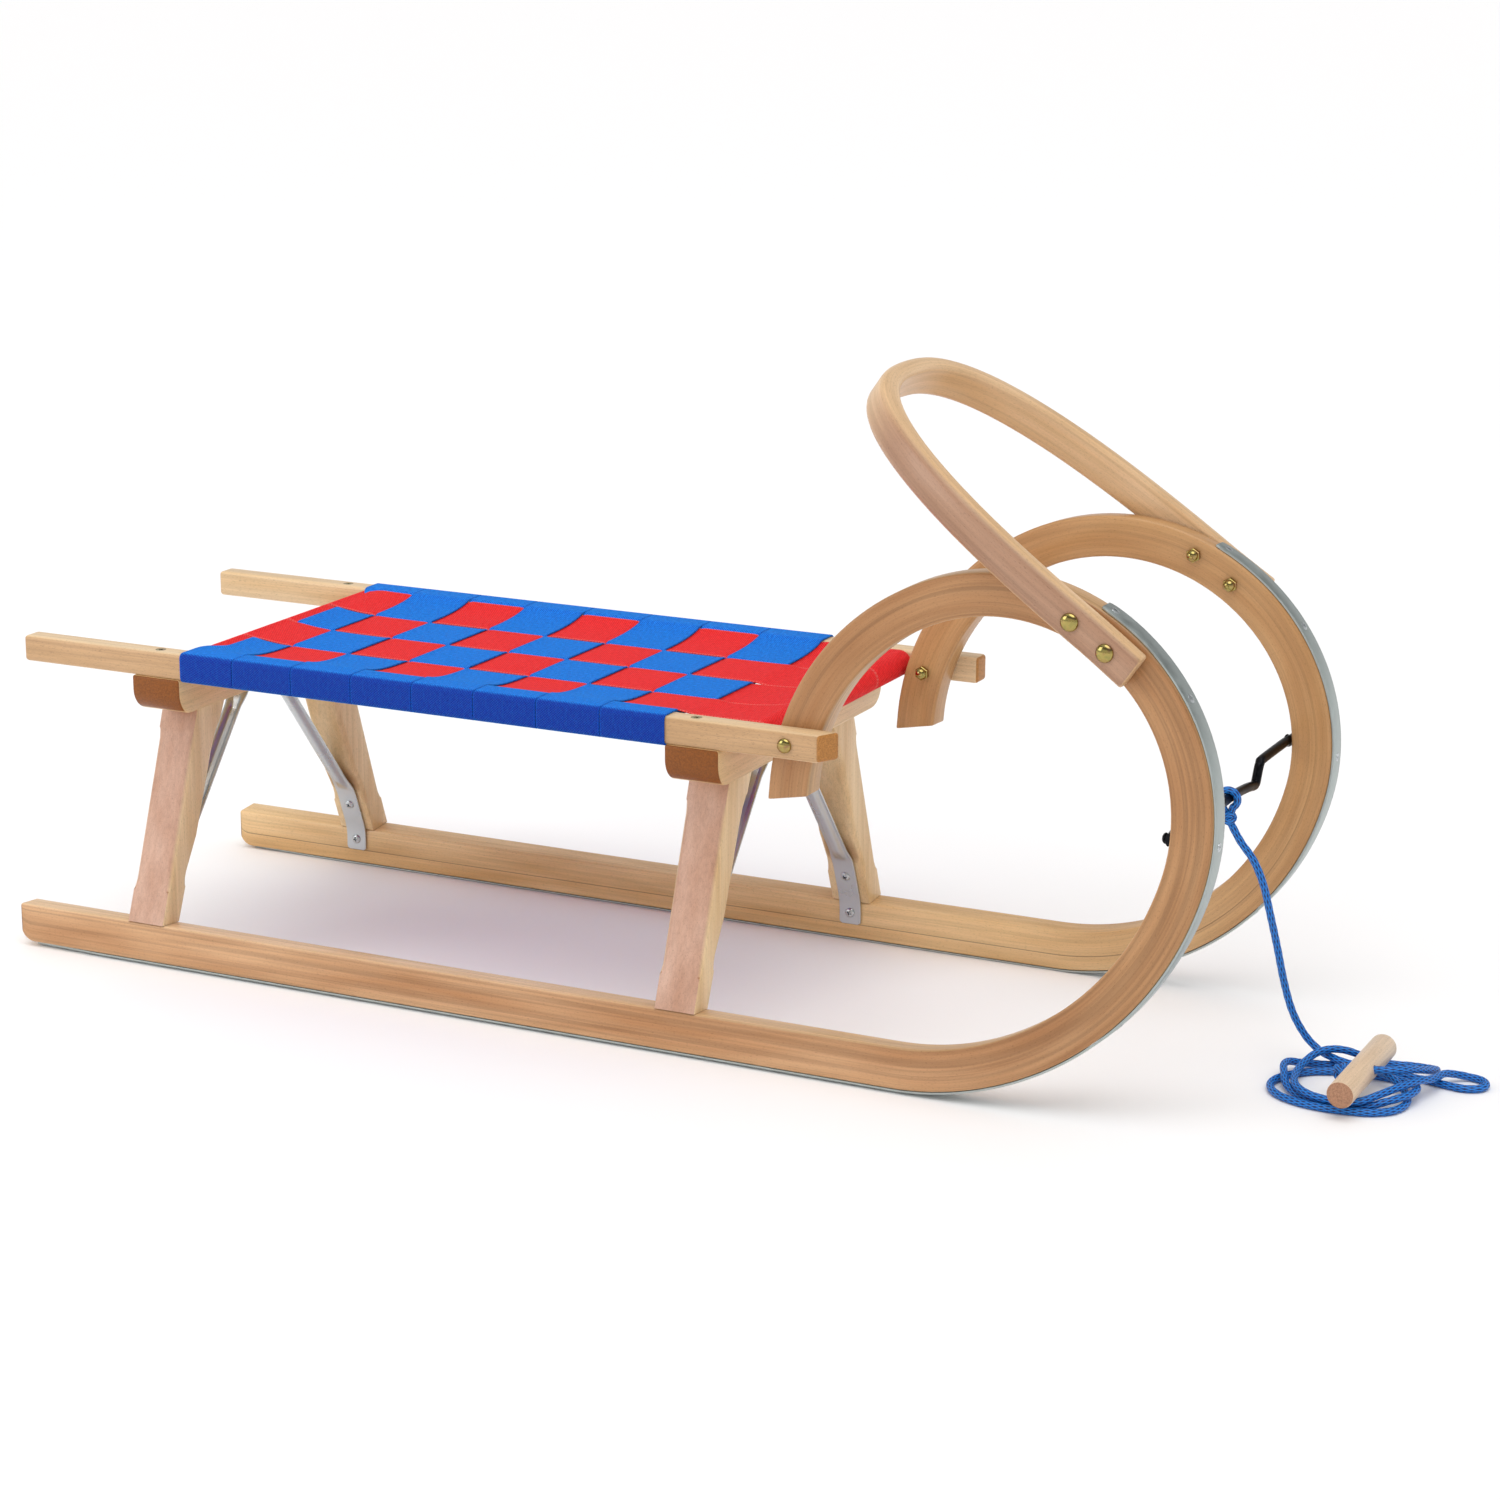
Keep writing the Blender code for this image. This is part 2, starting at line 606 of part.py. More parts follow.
def beam(name, leg_x, x):
    """A cross beam that lies on two legs, with round-nosed ends."""
    half = BEAM_WIDTH / 2
    low = (x - half, -RAIL_OUTER, BEAM_BOTTOM)
    high = (x + half, RAIL_OUTER, BEAM_BOTTOM + BEAM_HEIGHT)
    mesh = block(name, low, high)

    def is_nose(edge):
        a, b = (vert.co for vert in edge.verts)
        return max(a.z, b.z) < BEAM_BOTTOM + 1e-5 and abs(a.y - b.y) < 1e-5

    bevel_edges(mesh, BEAM_NOSE, 6, is_nose)
    made = add_part(name, mesh, BEECH, 35)
    bevel(made, BEAM_EDGE, 1)
    outer, inner = leg_edges(LEG_TOP - LEG_BOTTOM)
    for side in SIDES:
        place = (leg_x, side * (outer + inner) / 2, BEAM_BOTTOM)
        size = TENON_DIAMETER + HOLE_CLEARANCE
        cut(made, rod(name + "_mortise", place, (0, 0, 1), size, 2 * (TENON_LENGTH + GAP)))
        pilot = RAIL_SCREW_DIAMETER + HOLE_CLEARANCE
        depth = RAIL_SCREW_LENGTH - RAIL_HEIGHT + 0.002
        top = (x, side * (RAIL_INNER + RAIL_WIDTH / 2), BEAM_BOTTOM + BEAM_HEIGHT)
        cut(made, rod(name + "_pilot", top, (0, 0, 1), pilot, 2 * depth, 12))
    return made


def rail(side):
    """A seat rail with its screw holes, bar sockets and bolt hole."""
    name = "seat_rail_" + SIDES[side]
    low = (RAIL_REAR, side * RAIL_INNER, RAIL_BOTTOM)
    high = (RAIL_FRONT, side * RAIL_OUTER, RAIL_TOP)
    corners = [sorted(pair) for pair in zip(low, high)]
    mesh = block(name, [c[0] for c in corners], [c[1] for c in corners])
    made = add_part(name, mesh, BEECH_PALE, 35)
    bevel(made, RAIL_EDGE, 2)
    for beam_x in (REAR_BEAM_X, FRONT_BEAM_X):
        spot, outline = rail_screw_shape(side, beam_x)
        hole = [(r + (HOLE_CLEARANCE / 2 if r else 0), z) for r, z in outline]
        hole = [(0, hole[0][1] + 0.002), (hole[1][0], hole[0][1] + 0.002)] + hole[1:]
        cut(made, turned_mesh(name + "_screw_hole", hole, spot, 12))
    for bar_x in (REAR_BAR_X, FRONT_BAR_X):
        place = (bar_x, side * RAIL_INNER, BAR_Z)
        size = BAR_DIAMETER + HOLE_CLEARANCE
        cut(made, rod(name + "_socket", place, (0, 1, 0), size, 2 * (BAR_SOCKET + GAP)))
    tip = (TIP_BOLT_X, side * RAIL_INNER, BAR_Z)
    hole = TIP_BOLT_DIAMETER + HOLE_CLEARANCE
    cut(made, rod(name + "_tip_hole", tip, (0, 1, 0), hole, 4 * RAIL_WIDTH))
    return made


def turned_mesh(name, profile, place, steps):
    """A turned cutter, made of rings between two poles."""
    bm = bmesh.new()
    rows = []
    for radius, height in profile:
        if radius < 1e-7:
            rows.append([bm.verts.new((0, 0, height))])
            continue
        turn = [2 * math.pi * k / steps for k in range(steps)]
        rows.append([bm.verts.new((radius * math.cos(a), radius * math.sin(a), height)) for a in turn])
    for upper, lower in zip(rows, rows[1:]):
        for i in range(steps):
            j = (i + 1) % steps
            ring = [upper[i % len(upper)], upper[j % len(upper)],
                    lower[j % len(lower)], lower[i % len(lower)]]
            bm.faces.new(list(dict.fromkeys(ring)))
    bmesh.ops.transform(bm, matrix=place, verts=bm.verts)
    return mesh_from(bm, name)


def seat_bar(name, x):
    """A round bar between the rails, held in a socket in each."""
    length = 2 * (RAIL_INNER + BAR_SOCKET)
    mesh = rod(name, (x, 0, BAR_Z), (0, 1, 0), BAR_DIAMETER, length, 24)
    return add_part(name, mesh, BEECH_PALE, 35)


# Woven seat

def seat_height(x, y):
    """The seat's middle surface: level at its edges, sagging between them."""
    middle = (SEAT_REAR + FRONT_BAR_X) / 2
    along = (x - middle) / ((FRONT_BAR_X - REAR_BAR_X) / 2)
    sideways = y / (LONG_PITCH * 1.5 + LONG_WIDTH / 2)
    return SEAT_LEVEL - SEAT_SAG * max(1 - along ** 2, 0) * max(1 - sideways ** 2, 0)


def over(cross, long):
    """+1 where the lengthwise strap runs over the cross strap, else -1."""
    return 1 if (cross + long) % 2 == 0 else -1


def strap_mesh(name, rows):
    """A strap: each row holds its two edge points and their normal."""
    half = STRAP_THICKNESS / 2
    bm = bmesh.new()
    rings = []
    for first, second, normal in rows:
        shift = Vector(normal).normalized() * half
        a, b = Vector(first), Vector(second)
        rings.append([bm.verts.new(p) for p in (a - shift, b - shift, b + shift, a + shift)])
    for row, following in zip(rings, rings[1:]):
        bm.faces.new((row[1], row[2], following[2], following[1]))
        bm.faces.new((row[3], row[0], following[0], following[3]))
        # All straps are split along the same diagonal, so that crossing ones stay evenly apart
        bm.faces.new((row[0], row[1], following[1]))
        bm.faces.new((row[0], following[1], following[0]))
        bm.faces.new((row[2], row[3], following[2]))
        bm.faces.new((row[3], following[3], following[2]))
    bm.faces.new(rings[0])
    bm.faces.new(rings[-1])
    return mesh_from(bm, name)


def cross_strap(number):
    """A cross strap, wrapped round both rails and woven through the lengthwise ones."""
    name = "cross_strap_%d" % (number + 1)
    middle = SEAT_REAR + (number + 0.5) * CROSS_PITCH
    low, high = max(middle - STRAP_WIDTH / 2, FIRST_STRAP_REAR), middle + STRAP_WIDTH / 2
    bend = RAIL_EDGE + STRAP_LIFT
    wrap = [(RAIL_INNER + 0.004, RAIL_BOTTOM - STRAP_LIFT, -90)]
    corners = ((RAIL_OUTER - RAIL_EDGE, RAIL_BOTTOM + RAIL_EDGE, -90),
               (RAIL_OUTER - RAIL_EDGE, RAIL_TOP - RAIL_EDGE, 0))
    for cy, cz, start in corners:
        for turn in (start, start + 45, start + 90):
            a = math.radians(turn)
            wrap.append((cy + bend * math.cos(a), cz + bend * math.sin(a), turn))
    wrap.append((RAIL_INNER + RAIL_EDGE, RAIL_TOP + STRAP_LIFT, 90))
    left = [((low, y, z), (high, y, z), (0, math.cos(math.radians(t)), math.sin(math.radians(t))))
            for y, z, t in wrap]
    right = [(tuple(np.multiply(a, (1, -1, 1))), tuple(np.multiply(b, (1, -1, 1))),
              tuple(np.multiply(n, (1, -1, 1)))) for a, b, n in reversed(left)]
    rows = []
    for long in range(LONG_STRAPS):
        centre = (1.5 - long) * LONG_PITCH
        for y in (centre + LONG_WIDTH / 2, centre - LONG_WIDTH / 2):
            shift = -over(number, long) * WEAVE
            rows.append(((low, y, seat_height(low, y) + shift),
                         (high, y, seat_height(high, y) + shift), (0, 0, 1)))
    made = add_part(name, strap_mesh(name, left + rows + right), BLUE_WEB)
    for beam_x in (REAR_BEAM_X, FRONT_BEAM_X):
        reach = BEAM_WIDTH / 2 + GAP
        if low < beam_x + reach and high > beam_x - reach:
            box_low = (beam_x - reach, -RAIL_OUTER - 0.01, BEAM_BOTTOM - 0.01)
            box_high = (beam_x + reach, RAIL_OUTER + 0.01, RAIL_BOTTOM)
            cut(made, block(name + "_notch", box_low, box_high))
    return made


def long_strap(number):
    """A lengthwise strap, woven through the cross straps and wrapped round both bars."""
    name = "long_strap_%d" % (number + 1)
    centre = (1.5 - number) * LONG_PITCH
    left, right = centre + LONG_WIDTH / 2, centre - LONG_WIDTH / 2

    def wrap(bar_x, radius, turns):
        found = []
        for turn in turns:
            a = math.radians(turn)
            x, z = bar_x + radius * math.cos(a), BAR_Z + radius * math.sin(a)
            found.append(((x, left, z), (x, right, z), (math.cos(a), 0, math.sin(a))))
        return found

    on_top = over(0, number) > 0
    edge = FIRST_STRAP_REAR - 2 * GAP if on_top else REAR_BAR_X
    rear = SNUG
    if on_top:
        rear = math.hypot(SNUG + STRAP_THICKNESS / 2, REAR_BAR_X - edge) + STRAP_LIFT
    start = wrap(REAR_BAR_X, rear, range(270, 120 if on_top else 90, -STRAP_TURN))
    end_x, end_z = REAR_BAR_X + STRAP_TAIL, BAR_Z - rear
    start.insert(0, ((end_x, left, end_z), (end_x, right, end_z), (0, 0, -1)))
    rows = []
    for cross in range(CROSS_STRAPS):
        middle = SEAT_REAR + (cross + 0.5) * CROSS_PITCH
        for x in (middle - STRAP_WIDTH / 2, middle + STRAP_WIDTH / 2):
            x = edge if cross == 0 and x < middle else x
            shift = over(cross, number) * WEAVE
            rows.append(((x, left, seat_height(x, left) + shift),
                         (x, right, seat_height(x, right) + shift), (0, 0, 1)))
    stop = wrap(FRONT_BAR_X, SNUG, range(90, -91, -STRAP_TURN))
    end_x, end_z = FRONT_BAR_X - STRAP_TAIL, BAR_Z - SNUG
    stop.append(((end_x, left, end_z), (end_x, right, end_z), (0, 0, -1)))
    return add_part(name, strap_mesh(name, start + rows + stop), RED_WEB)


# Braces

def brace_screw_place(side, x):
    """Where a brace's upper foot screw enters the leg, and the way out of the leg."""
    height = BRACE_SCREW - LEG_BOTTOM
    inner = leg_edges(height)[1]
    below = leg_edges(height - 0.01)[1]
    normal = Vector((0, -side * 0.01, -(below - inner)))
    return (x, side * inner, BRACE_SCREW), normal.normalized()


def brace_line():
    """Side-to-side half-widths and heights along a brace, from its foot to its top end."""
    away = GAP + BRACE_SHEET / 2
    foot_y = RUNNER_OUTER - RUNNER_THICKNESS - away
    slope = (leg_edges(BRACE_KNEE - LEG_BOTTOM)[1] - leg_edges(0)[1]) / (BRACE_KNEE - LEG_BOTTOM)
    size = math.hypot(1, slope)
    shift_y, shift_z = -away / size, slope * away / size
    ankle = (foot_y, LEG_BOTTOM + shift_z)
    knee = (leg_edges(BRACE_KNEE - LEG_BOTTOM)[1] + shift_y, BRACE_KNEE + shift_z)
    top = BEAM_BOTTOM - away
    return [(foot_y, BRACE_FOOT), ankle, knee, (BRACE_TOP_BEND, top), (BRACE_TOP_END, top)]


def brace(name, side, x):
    """A pressed strut: flat ends with rounded corners, and a channel between them."""
    foot, ankle, knee, bend, end = [Vector(p) for p in brace_line()]
    waist = BRACE_STRUT_WIDTH / BRACE_PLATE_WIDTH
    rounded = BRACE_END_WIDTH / BRACE_PLATE_WIDTH
    # Each station is a place, a share of the plate's width and a share of the channel's depth
    stations = [(foot, rounded, 0), (foot.lerp(ankle, 0.12), 1, 0), (ankle, 1, 0), (knee, 1, 0)]
    for share, width, depth in ((0.05, 0.92, 0.3), (0.12, waist + 0.025, 1), (0.5, waist, 1),
                                (0.86, waist + 0.025, 1), (0.95, 0.95, 0.2)):
        stations.append((knee.lerp(bend, share), width, depth))
    stations += [(bend, 1, 0), (bend.lerp(end, 0.85), 1, 0), (end, rounded, 0)]
    channel = ((-1, 0), (-0.7, 0.12), (-0.4, 0.85), (0, 1), (0.4, 0.85), (0.7, 0.12), (1, 0))
    bm = bmesh.new()
    rows = []
    for i, (spot, width, depth) in enumerate(stations):
        before = stations[max(i - 1, 0)][0]
        after = stations[min(i + 1, len(stations) - 1)][0]
        line = (after - before).normalized()
        inwards = Vector((-abs(line.y), -abs(line.x)))
        half = BRACE_PLATE_WIDTH / 2 * width
        row = []
        for share, rise in channel:
            point = spot + inwards * rise * depth * BRACE_CHANNEL
            row.append(bm.verts.new((x + share * half, side * point.x, point.y)))
        rows.append(row)
    for row, following in zip(rows, rows[1:]):
        for a, b, c, d in zip(row, row[1:], following[1:], following):
            bm.faces.new((a, b, c, d) if side > 0 else (d, c, b, a))
    mesh = bpy.data.meshes.new(name)
    bm.to_mesh(mesh)
    bm.free()
    made = add_part(name, mesh, GALVANISED)
    sheet = made.modifiers.new("sheet", "SOLIDIFY")
    sheet.thickness = BRACE_SHEET
    sheet.offset = 0
    sheet.use_even_offset = True
    spot, normal = brace_screw_place(side, x)
    hole = BRACE_SCREW_DIAMETER + HOLE_CLEARANCE
    cut(made, rod(name + "_hole", spot, normal, hole, 0.02, 12))
    return made


def brace_screw(name, side, x):
    """A round-headed screw through the brace into the leg."""
    spot, normal = brace_screw_place(side, x)
    base = GAP + BRACE_SHEET + GAP
    head, shank = BRACE_SCREW_HEAD / 2, BRACE_SCREW_DIAMETER / 2
    crown = BRACE_SCREW_CROWN
    outline = ((0, base + crown), (head * 0.55, base + crown * 0.85), (head, base + crown * 0.2),
               (head, base), (shank, base), (shank, base - BRACE_SCREW_LENGTH + 0.003),
               (0, base - BRACE_SCREW_LENGTH))
    return turned(name, outline, standing(spot, normal), 12, GALVANISED)


# Hoop handle

def bow_space(u, y, n):
    """A point of the hoop's tilted plane in the sled's own space."""
    tilt = math.radians(BOW_TILT)
    x = BOW_BASE_X - u * math.cos(tilt) + n * math.sin(tilt)
    z = BOW_BASE_Z + u * math.sin(tilt) + n * math.cos(tilt)
    return (x, y, z)


def bow_half_width(u):
    """Half-width over the hoop's outer faces: along the horns, then round the top."""
    x, _, z = bow_space(min(u, BOW_BEND), 0, 0)
    straight = horn_face(x, z) + BOW_STANDOFF + BOW_THICKNESS
    share = min(max((u - BOW_BEND) / (BOW_TOP - BOW_BEND), 0.0), 1.0)
    return straight * (1 - share ** BOW_SQUARENESS) ** (1 / BOW_SQUARENESS)


def bow_twist(u, n):
    """The slight twist that lays an arm flat on its horn, fading out above it."""
    x, _, z = bow_space(u, 0, n)
    x0, _, z0 = bow_space(u, 0, 0)
    fade = min(max(1 - (u - BOW_BEND) / BOW_TWIST_LENGTH, 0.0), 1.0)
    return (horn_face(x, z) - horn_face(x0, z0)) * fade


def bow_outline():
    """Outer points (u, half-width) of half the hoop, from the arm's end to the top."""
    arm = [BOW_START, BOW_START + BOW_END_EDGE, BOW_START + 0.02, BOW_BEND]
    outline = [(u, bow_half_width(u)) for u in arm]
    wide = bow_half_width(BOW_BEND)
    for k in range(1, BOW_STEPS + 1):
        turn = math.pi / 2 * k / BOW_STEPS
        u = BOW_BEND + (BOW_TOP - BOW_BEND) * math.sin(turn) ** (2 / BOW_SQUARENESS)
        outline.append((u, wide * math.cos(turn) ** (2 / BOW_SQUARENESS) if k < BOW_STEPS else 0.0))
    return outline


def handle_bow():
    """The bent hoop that the rider holds, with holes for its four bolts."""
    half = bow_outline()
    line = [Vector(p) for p in half] + [Vector((u, -y)) for u, y in reversed(half[:-1])]
    rings = []
    for i, spot in enumerate(line):
        before, after = line[max(i - 1, 0)], line[min(i + 1, len(line) - 1)]
        along = (after - before).normalized()
        inwards = Vector((along.y, -along.x))
        if i in (0, len(line) - 1):
            inwards = Vector((0, -1 if i == 0 else 1))
        side = 1 if spot.y >= 0 else -1
        shrink = BOW_END_EDGE if i in (0, len(line) - 1) else 0.0
        ring = []
        for depth, n in bow_section(shrink):
            point = spot + inwards * depth
            twist = side * bow_twist(spot.x, n) if spot.x < BOW_BEND + BOW_TWIST_LENGTH else 0.0
            ring.append(bow_space(point.x, point.y + twist, n))
        rings.append(ring)
    made = add_part("handle_bow", loft("handle_bow", rings), BEECH, 35)
    for side in SIDES:
        for u in BOW_BOLTS:
            centre, axis = bow_bolt_line(u, side)
            hole = BOW_BOLT_DIAMETER + HOLE_CLEARANCE
            cut(made, rod("bow_bolt_hole", centre, axis, hole, 4 * RUNNER_THICKNESS))
    return made


def bow_section(shrink):
    """Points (depth from the outer face, distance off the plane) round the hoop's section."""
    found = []
    wide = BOW_WIDTH / 2
    thick = BOW_THICKNESS
    outer, inner = (BOW_OUTER_EDGE, (0, 30, 60, 90)), (BOW_INNER_EDGE, (0, 90))
    for (edge, degrees), depth, n, inward, upward in ((outer, 0, -wide, 1, 1), (inner, thick, -wide, -1, 1),
                                                      (inner, thick, wide, -1, -1), (outer, 0, wide, 1, -1)):
        turns = [math.radians(t) for t in degrees]
        corner = [(depth + inward * edge * (1 - math.cos(a)), n + upward * edge * (1 - math.sin(a)))
                  for a in turns]
        if inward * upward < 0:
            corner.reverse()
        found += corner
    return [(min(max(d, shrink), thick), max(min(n, wide - shrink), shrink - wide)) for d, n in found]


def bow_bolt_line(u, side):
    """A point inside the horn and the outward axis of one hoop bolt."""
    step = 0.006

    def face_point(du, dn):
        return Vector(bow_space(u + du, side * (bow_half_width(u + du) + bow_twist(u + du, dn)), dn))

    start = Vector(bow_space(u, side * bow_half_width(u), 0))
    along = face_point(step, 0) - face_point(-step, 0)
    square = face_point(0, step) - face_point(0, -step)
    axis = along.cross(square).normalized()
    if axis.y * side < 0:
        axis = -axis
    return start, axis


def horn_depth(start, axis, radius):
    """How far a nut of some radius must stay back along a bolt to clear the horn's inner face."""
    aside = axis.orthogonal().normalized()
    deepest = 0.0
    for k in range(9):
        rim = Matrix.Rotation(k * math.pi / 4, 3, axis) @ aside * (radius if k else 0.0)
        depth = BOW_THICKNESS + RUNNER_THICKNESS
        for _ in range(6):
            spot = start + rim - axis * depth
            depth += abs(spot.y) - (horn_face(spot.x, spot.z) - RUNNER_THICKNESS)
        deepest = max(deepest, depth)
    return deepest


def bolt_outline(head, shank, length):
    """A domed bolt from its crown down, with its seat at height 0."""
    high = BOLT_HEAD_HEIGHT
    dome = [(head / 2 * math.sin(math.radians(a)), high * math.cos(math.radians(a))) for a in (0, 35, 65)]
    return dome + [(head / 2, high * 0.12), (head / 2, 0), (shank / 2, 0), (shank / 2, -length + 0.0006),
                   (shank / 2 - 0.0006, -length), (0, -length)]


def nut_outline(shank):
    """A domed nut over the end of a bolt, open below, with its seat at height 0."""
    wide = NUT_ACROSS / 2 / math.cos(math.pi / 6)
    bore = (shank + HOLE_CLEARANCE) / 2 / math.cos(math.pi / 6)
    tall, blind = NUT_HEIGHT, THREAD_IN_NUT + GAP
    return [(0, tall), (wide * 0.5, tall * 0.93), (wide * 0.82, tall * 0.72), (wide * 0.9, tall * 0.52),
            (wide, tall * 0.45), (wide, 0.0004), (wide * 0.94, 0), (bore, 0), (bore, blind), (0, blind)]


def bow_fasteners(side):
    """The two bolts and domed nuts that hold one arm to its horn."""
    for u, level in zip(BOW_BOLTS, ("lower", "upper")):
        start, axis = bow_bolt_line(u, side)
        tag = "%s_%s" % (SIDES[side], level)
        reach = horn_depth(start, axis, NUT_ACROSS / math.sqrt(3)) + GAP
        length = GAP + reach + THREAD_IN_NUT
        turned("bow_bolt_" + tag, bolt_outline(BOW_BOLT_HEAD, BOW_BOLT_DIAMETER, length),
               standing(start + axis * GAP, axis), 16, YELLOW_ZINC)
        turned("bow_nut_" + tag, nut_outline(BOW_BOLT_DIAMETER),
               standing(start - axis * reach, -axis), 6, YELLOW_ZINC)


def tip_fasteners(side):
    """The bolt and domed nut that tie a horn's tip to its rail."""
    outwards = Vector((0, side, 0))
    start = Vector((TIP_BOLT_X, side * RAIL_OUTER, BAR_Z))
    tip_inner = horn_face(TIP_BOLT_X, BAR_Z) - RUNNER_THICKNESS
    grip = RAIL_OUTER - tip_inner
    length = GAP + grip + GAP + THREAD_IN_NUT
    turned("tip_bolt_" + SIDES[side], bolt_outline(TIP_BOLT_HEAD, TIP_BOLT_DIAMETER, length),
           standing(start + outwards * GAP, outwards), 16, YELLOW_ZINC)
    seat = start - outwards * (grip + GAP)
    turned("tip_nut_" + SIDES[side], nut_outline(TIP_BOLT_DIAMETER), standing(seat, -outwards),
           6, YELLOW_ZINC)


def rail_screw_shape(side, x):
    """Placement and outline of a countersunk rail screw."""
    head, shank = RAIL_SCREW_HEAD / 2, RAIL_SCREW_DIAMETER / 2
    tip = -RAIL_SCREW_LENGTH
    outline = [(0, 0), (head, 0), (shank, -(head - shank)), (shank, tip + 0.004), (0, tip)]
    spot = (x, side * (RAIL_INNER + RAIL_WIDTH / 2), RAIL_TOP - 0.0008)
    return Matrix.Translation(Vector(spot)), outline


# Rope bar, rope and handle

def bar_seat(side):
    """Middle of the bar's eye on the horn's concave face, its normal, and the half-width there."""
    length = length_at_turn(ROPE_BAR_TURN)
    spot, turn = sole_at(length)
    middle = RUNNER_OUTER - RUNNER_THICKNESS / 2 - lean(length)
    normal = Vector((-math.sin(turn), 0, math.cos(turn)))
    return Vector(across(spot, turn, RUNNER_HEIGHT + ROPE_BAR_STANDOFF - GAP, side * middle)), normal, middle


def rope_bar_points():
    """The bar's middle line from the left eye to the right one."""
    seat, normal, middle = bar_seat(1)
    eye = seat + normal * (GAP + ROPE_BAR_DIAMETER / 2)
    x, z = eye.x - ROPE_BAR_BACK / 2, eye.z
    low = z - ROPE_BAR_DROP
    crank = ROPE_BAR_CRANK_Y
    half = [(eye.x, middle - ROPE_BAR_EYE * 0.4, z), (eye.x, middle - ROPE_BAR_EYE, z)]
    half += [(x, crank + 0.006, z - 0.0030), (x - 0.0004, crank + 0.002, z - 0.0050),
             (x - 0.0007, crank, z - 0.0090), (x - 0.001, crank - 0.002, low + 0.0065),
             (x - 0.001, crank - 0.004, low + 0.0024), (x - 0.001, crank - 0.008, low + 0.0008)]
    for share in (0.75, 0.5, 0.25, 0.0):
        half.append((x - 0.001, crank * share, low + ROPE_BAR_ARCH * (1 - share ** 2)))
    return half + [(px, -py, pz) for px, py, pz in reversed(half[:-1])]


def rope_bar():
    """The cranked bar with a flat eye at each end, screwed to the horns."""
    points = rope_bar_points()
    made = add_part("rope_bar", tube_mesh("rope_bar", points, ROPE_BAR_DIAMETER, 2), BLACK_STEEL, 50)
    for side in SIDES:
        seat, normal, _ = bar_seat(side)
        thick = ROPE_BAR_EYE_THICKNESS
        centre = seat + normal * (GAP + thick / 2)
        join(made, rod("bar_eye", centre, normal, ROPE_BAR_EYE, thick + 0.003))
        flat = seat + normal * (GAP + thick + 0.01)
        cut(made, rod("bar_eye_face", flat, normal, ROPE_BAR_EYE + 0.004, 0.02))
        cut(made, rod("bar_eye_hole", seat, normal, BAR_SCREW_DIAMETER + HOLE_CLEARANCE, 0.03))
        shadow = seat - normal * (0.01 - GAP)
        cut(made, rod("bar_eye_back", shadow, normal, ROPE_BAR_EYE + 0.006, 0.02))
        head, shank = BAR_SCREW_HEAD / 2, BAR_SCREW_DIAMETER / 2
        base = GAP + thick + GAP
        crown = BAR_SCREW_CROWN
        outline = ((0, base + crown), (head * 0.6, base + crown * 0.92), (head * 0.95, base + crown * 0.55),
                   (head, base), (shank, base), (shank, base - BAR_SCREW_LENGTH + 0.003),
                   (0, base - BAR_SCREW_LENGTH))
        turned("rope_bar_screw_" + SIDES[side], outline, standing(seat, normal), 12, BLACK_STEEL)
    return made


def knot_top():
    """The bar's middle line where the rope is tied to it."""
    return Vector([np.interp(-KNOT_Y, [-p[1] for p in rope_bar_points()], [p[i] for p in rope_bar_points()])
                   for i in range(3)])


def rope_knot():
    """A loop round the bar, drawn into a knot below it."""
    bar = knot_top()
    rise = ROPE_BAR_DIAMETER / 2 + GAP * 2 + ROPE_DIAMETER / 2
    centre = bar + Vector((0, 0, rise - KNOT_LOOP_HEIGHT / 2))
    ring = []
    for k in range(16):
        a = 2 * math.pi * k / 16
        wide, tall = KNOT_LOOP_WIDTH / 2 * math.sin(a), KNOT_LOOP_HEIGHT / 2 * math.cos(a)
        ring.append(centre + Vector((wide, 0, tall)))
    made = add_part("rope_knot", tube_mesh("rope_knot", ring, ROPE_DIAMETER, 2, cyclic=True), BLUE_ROPE, 50)
    ball = bmesh.new()
    place = Matrix.Translation(knot_ball())
    bmesh.ops.create_uvsphere(ball, u_segments=10, v_segments=7, radius=KNOT_BALL / 2, matrix=place)
    join(made, mesh_from(ball, "knot_ball"))
    return made


def knot_ball():
    """Middle of the knot under the loop."""
    rise = ROPE_BAR_DIAMETER / 2 + GAP * 2 + ROPE_DIAMETER / 2
    return knot_top() + Vector((0, 0, rise - KNOT_LOOP_HEIGHT - 0.002))


def handle_axis():
    """Direction of the wooden handle and of the hole through it."""
    turn, rise = math.radians(HANDLE_TURN), math.radians(HANDLE_RISE)
    along = Vector((math.cos(turn) * math.cos(rise), math.sin(turn) * math.cos(rise), math.sin(rise)))
    lift = math.radians(HANDLE_HOLE_RISE)
    through = Vector((math.cos(lift), 0, math.sin(lift)))
    through = (through - along * through.dot(along)).normalized()
    return along, through


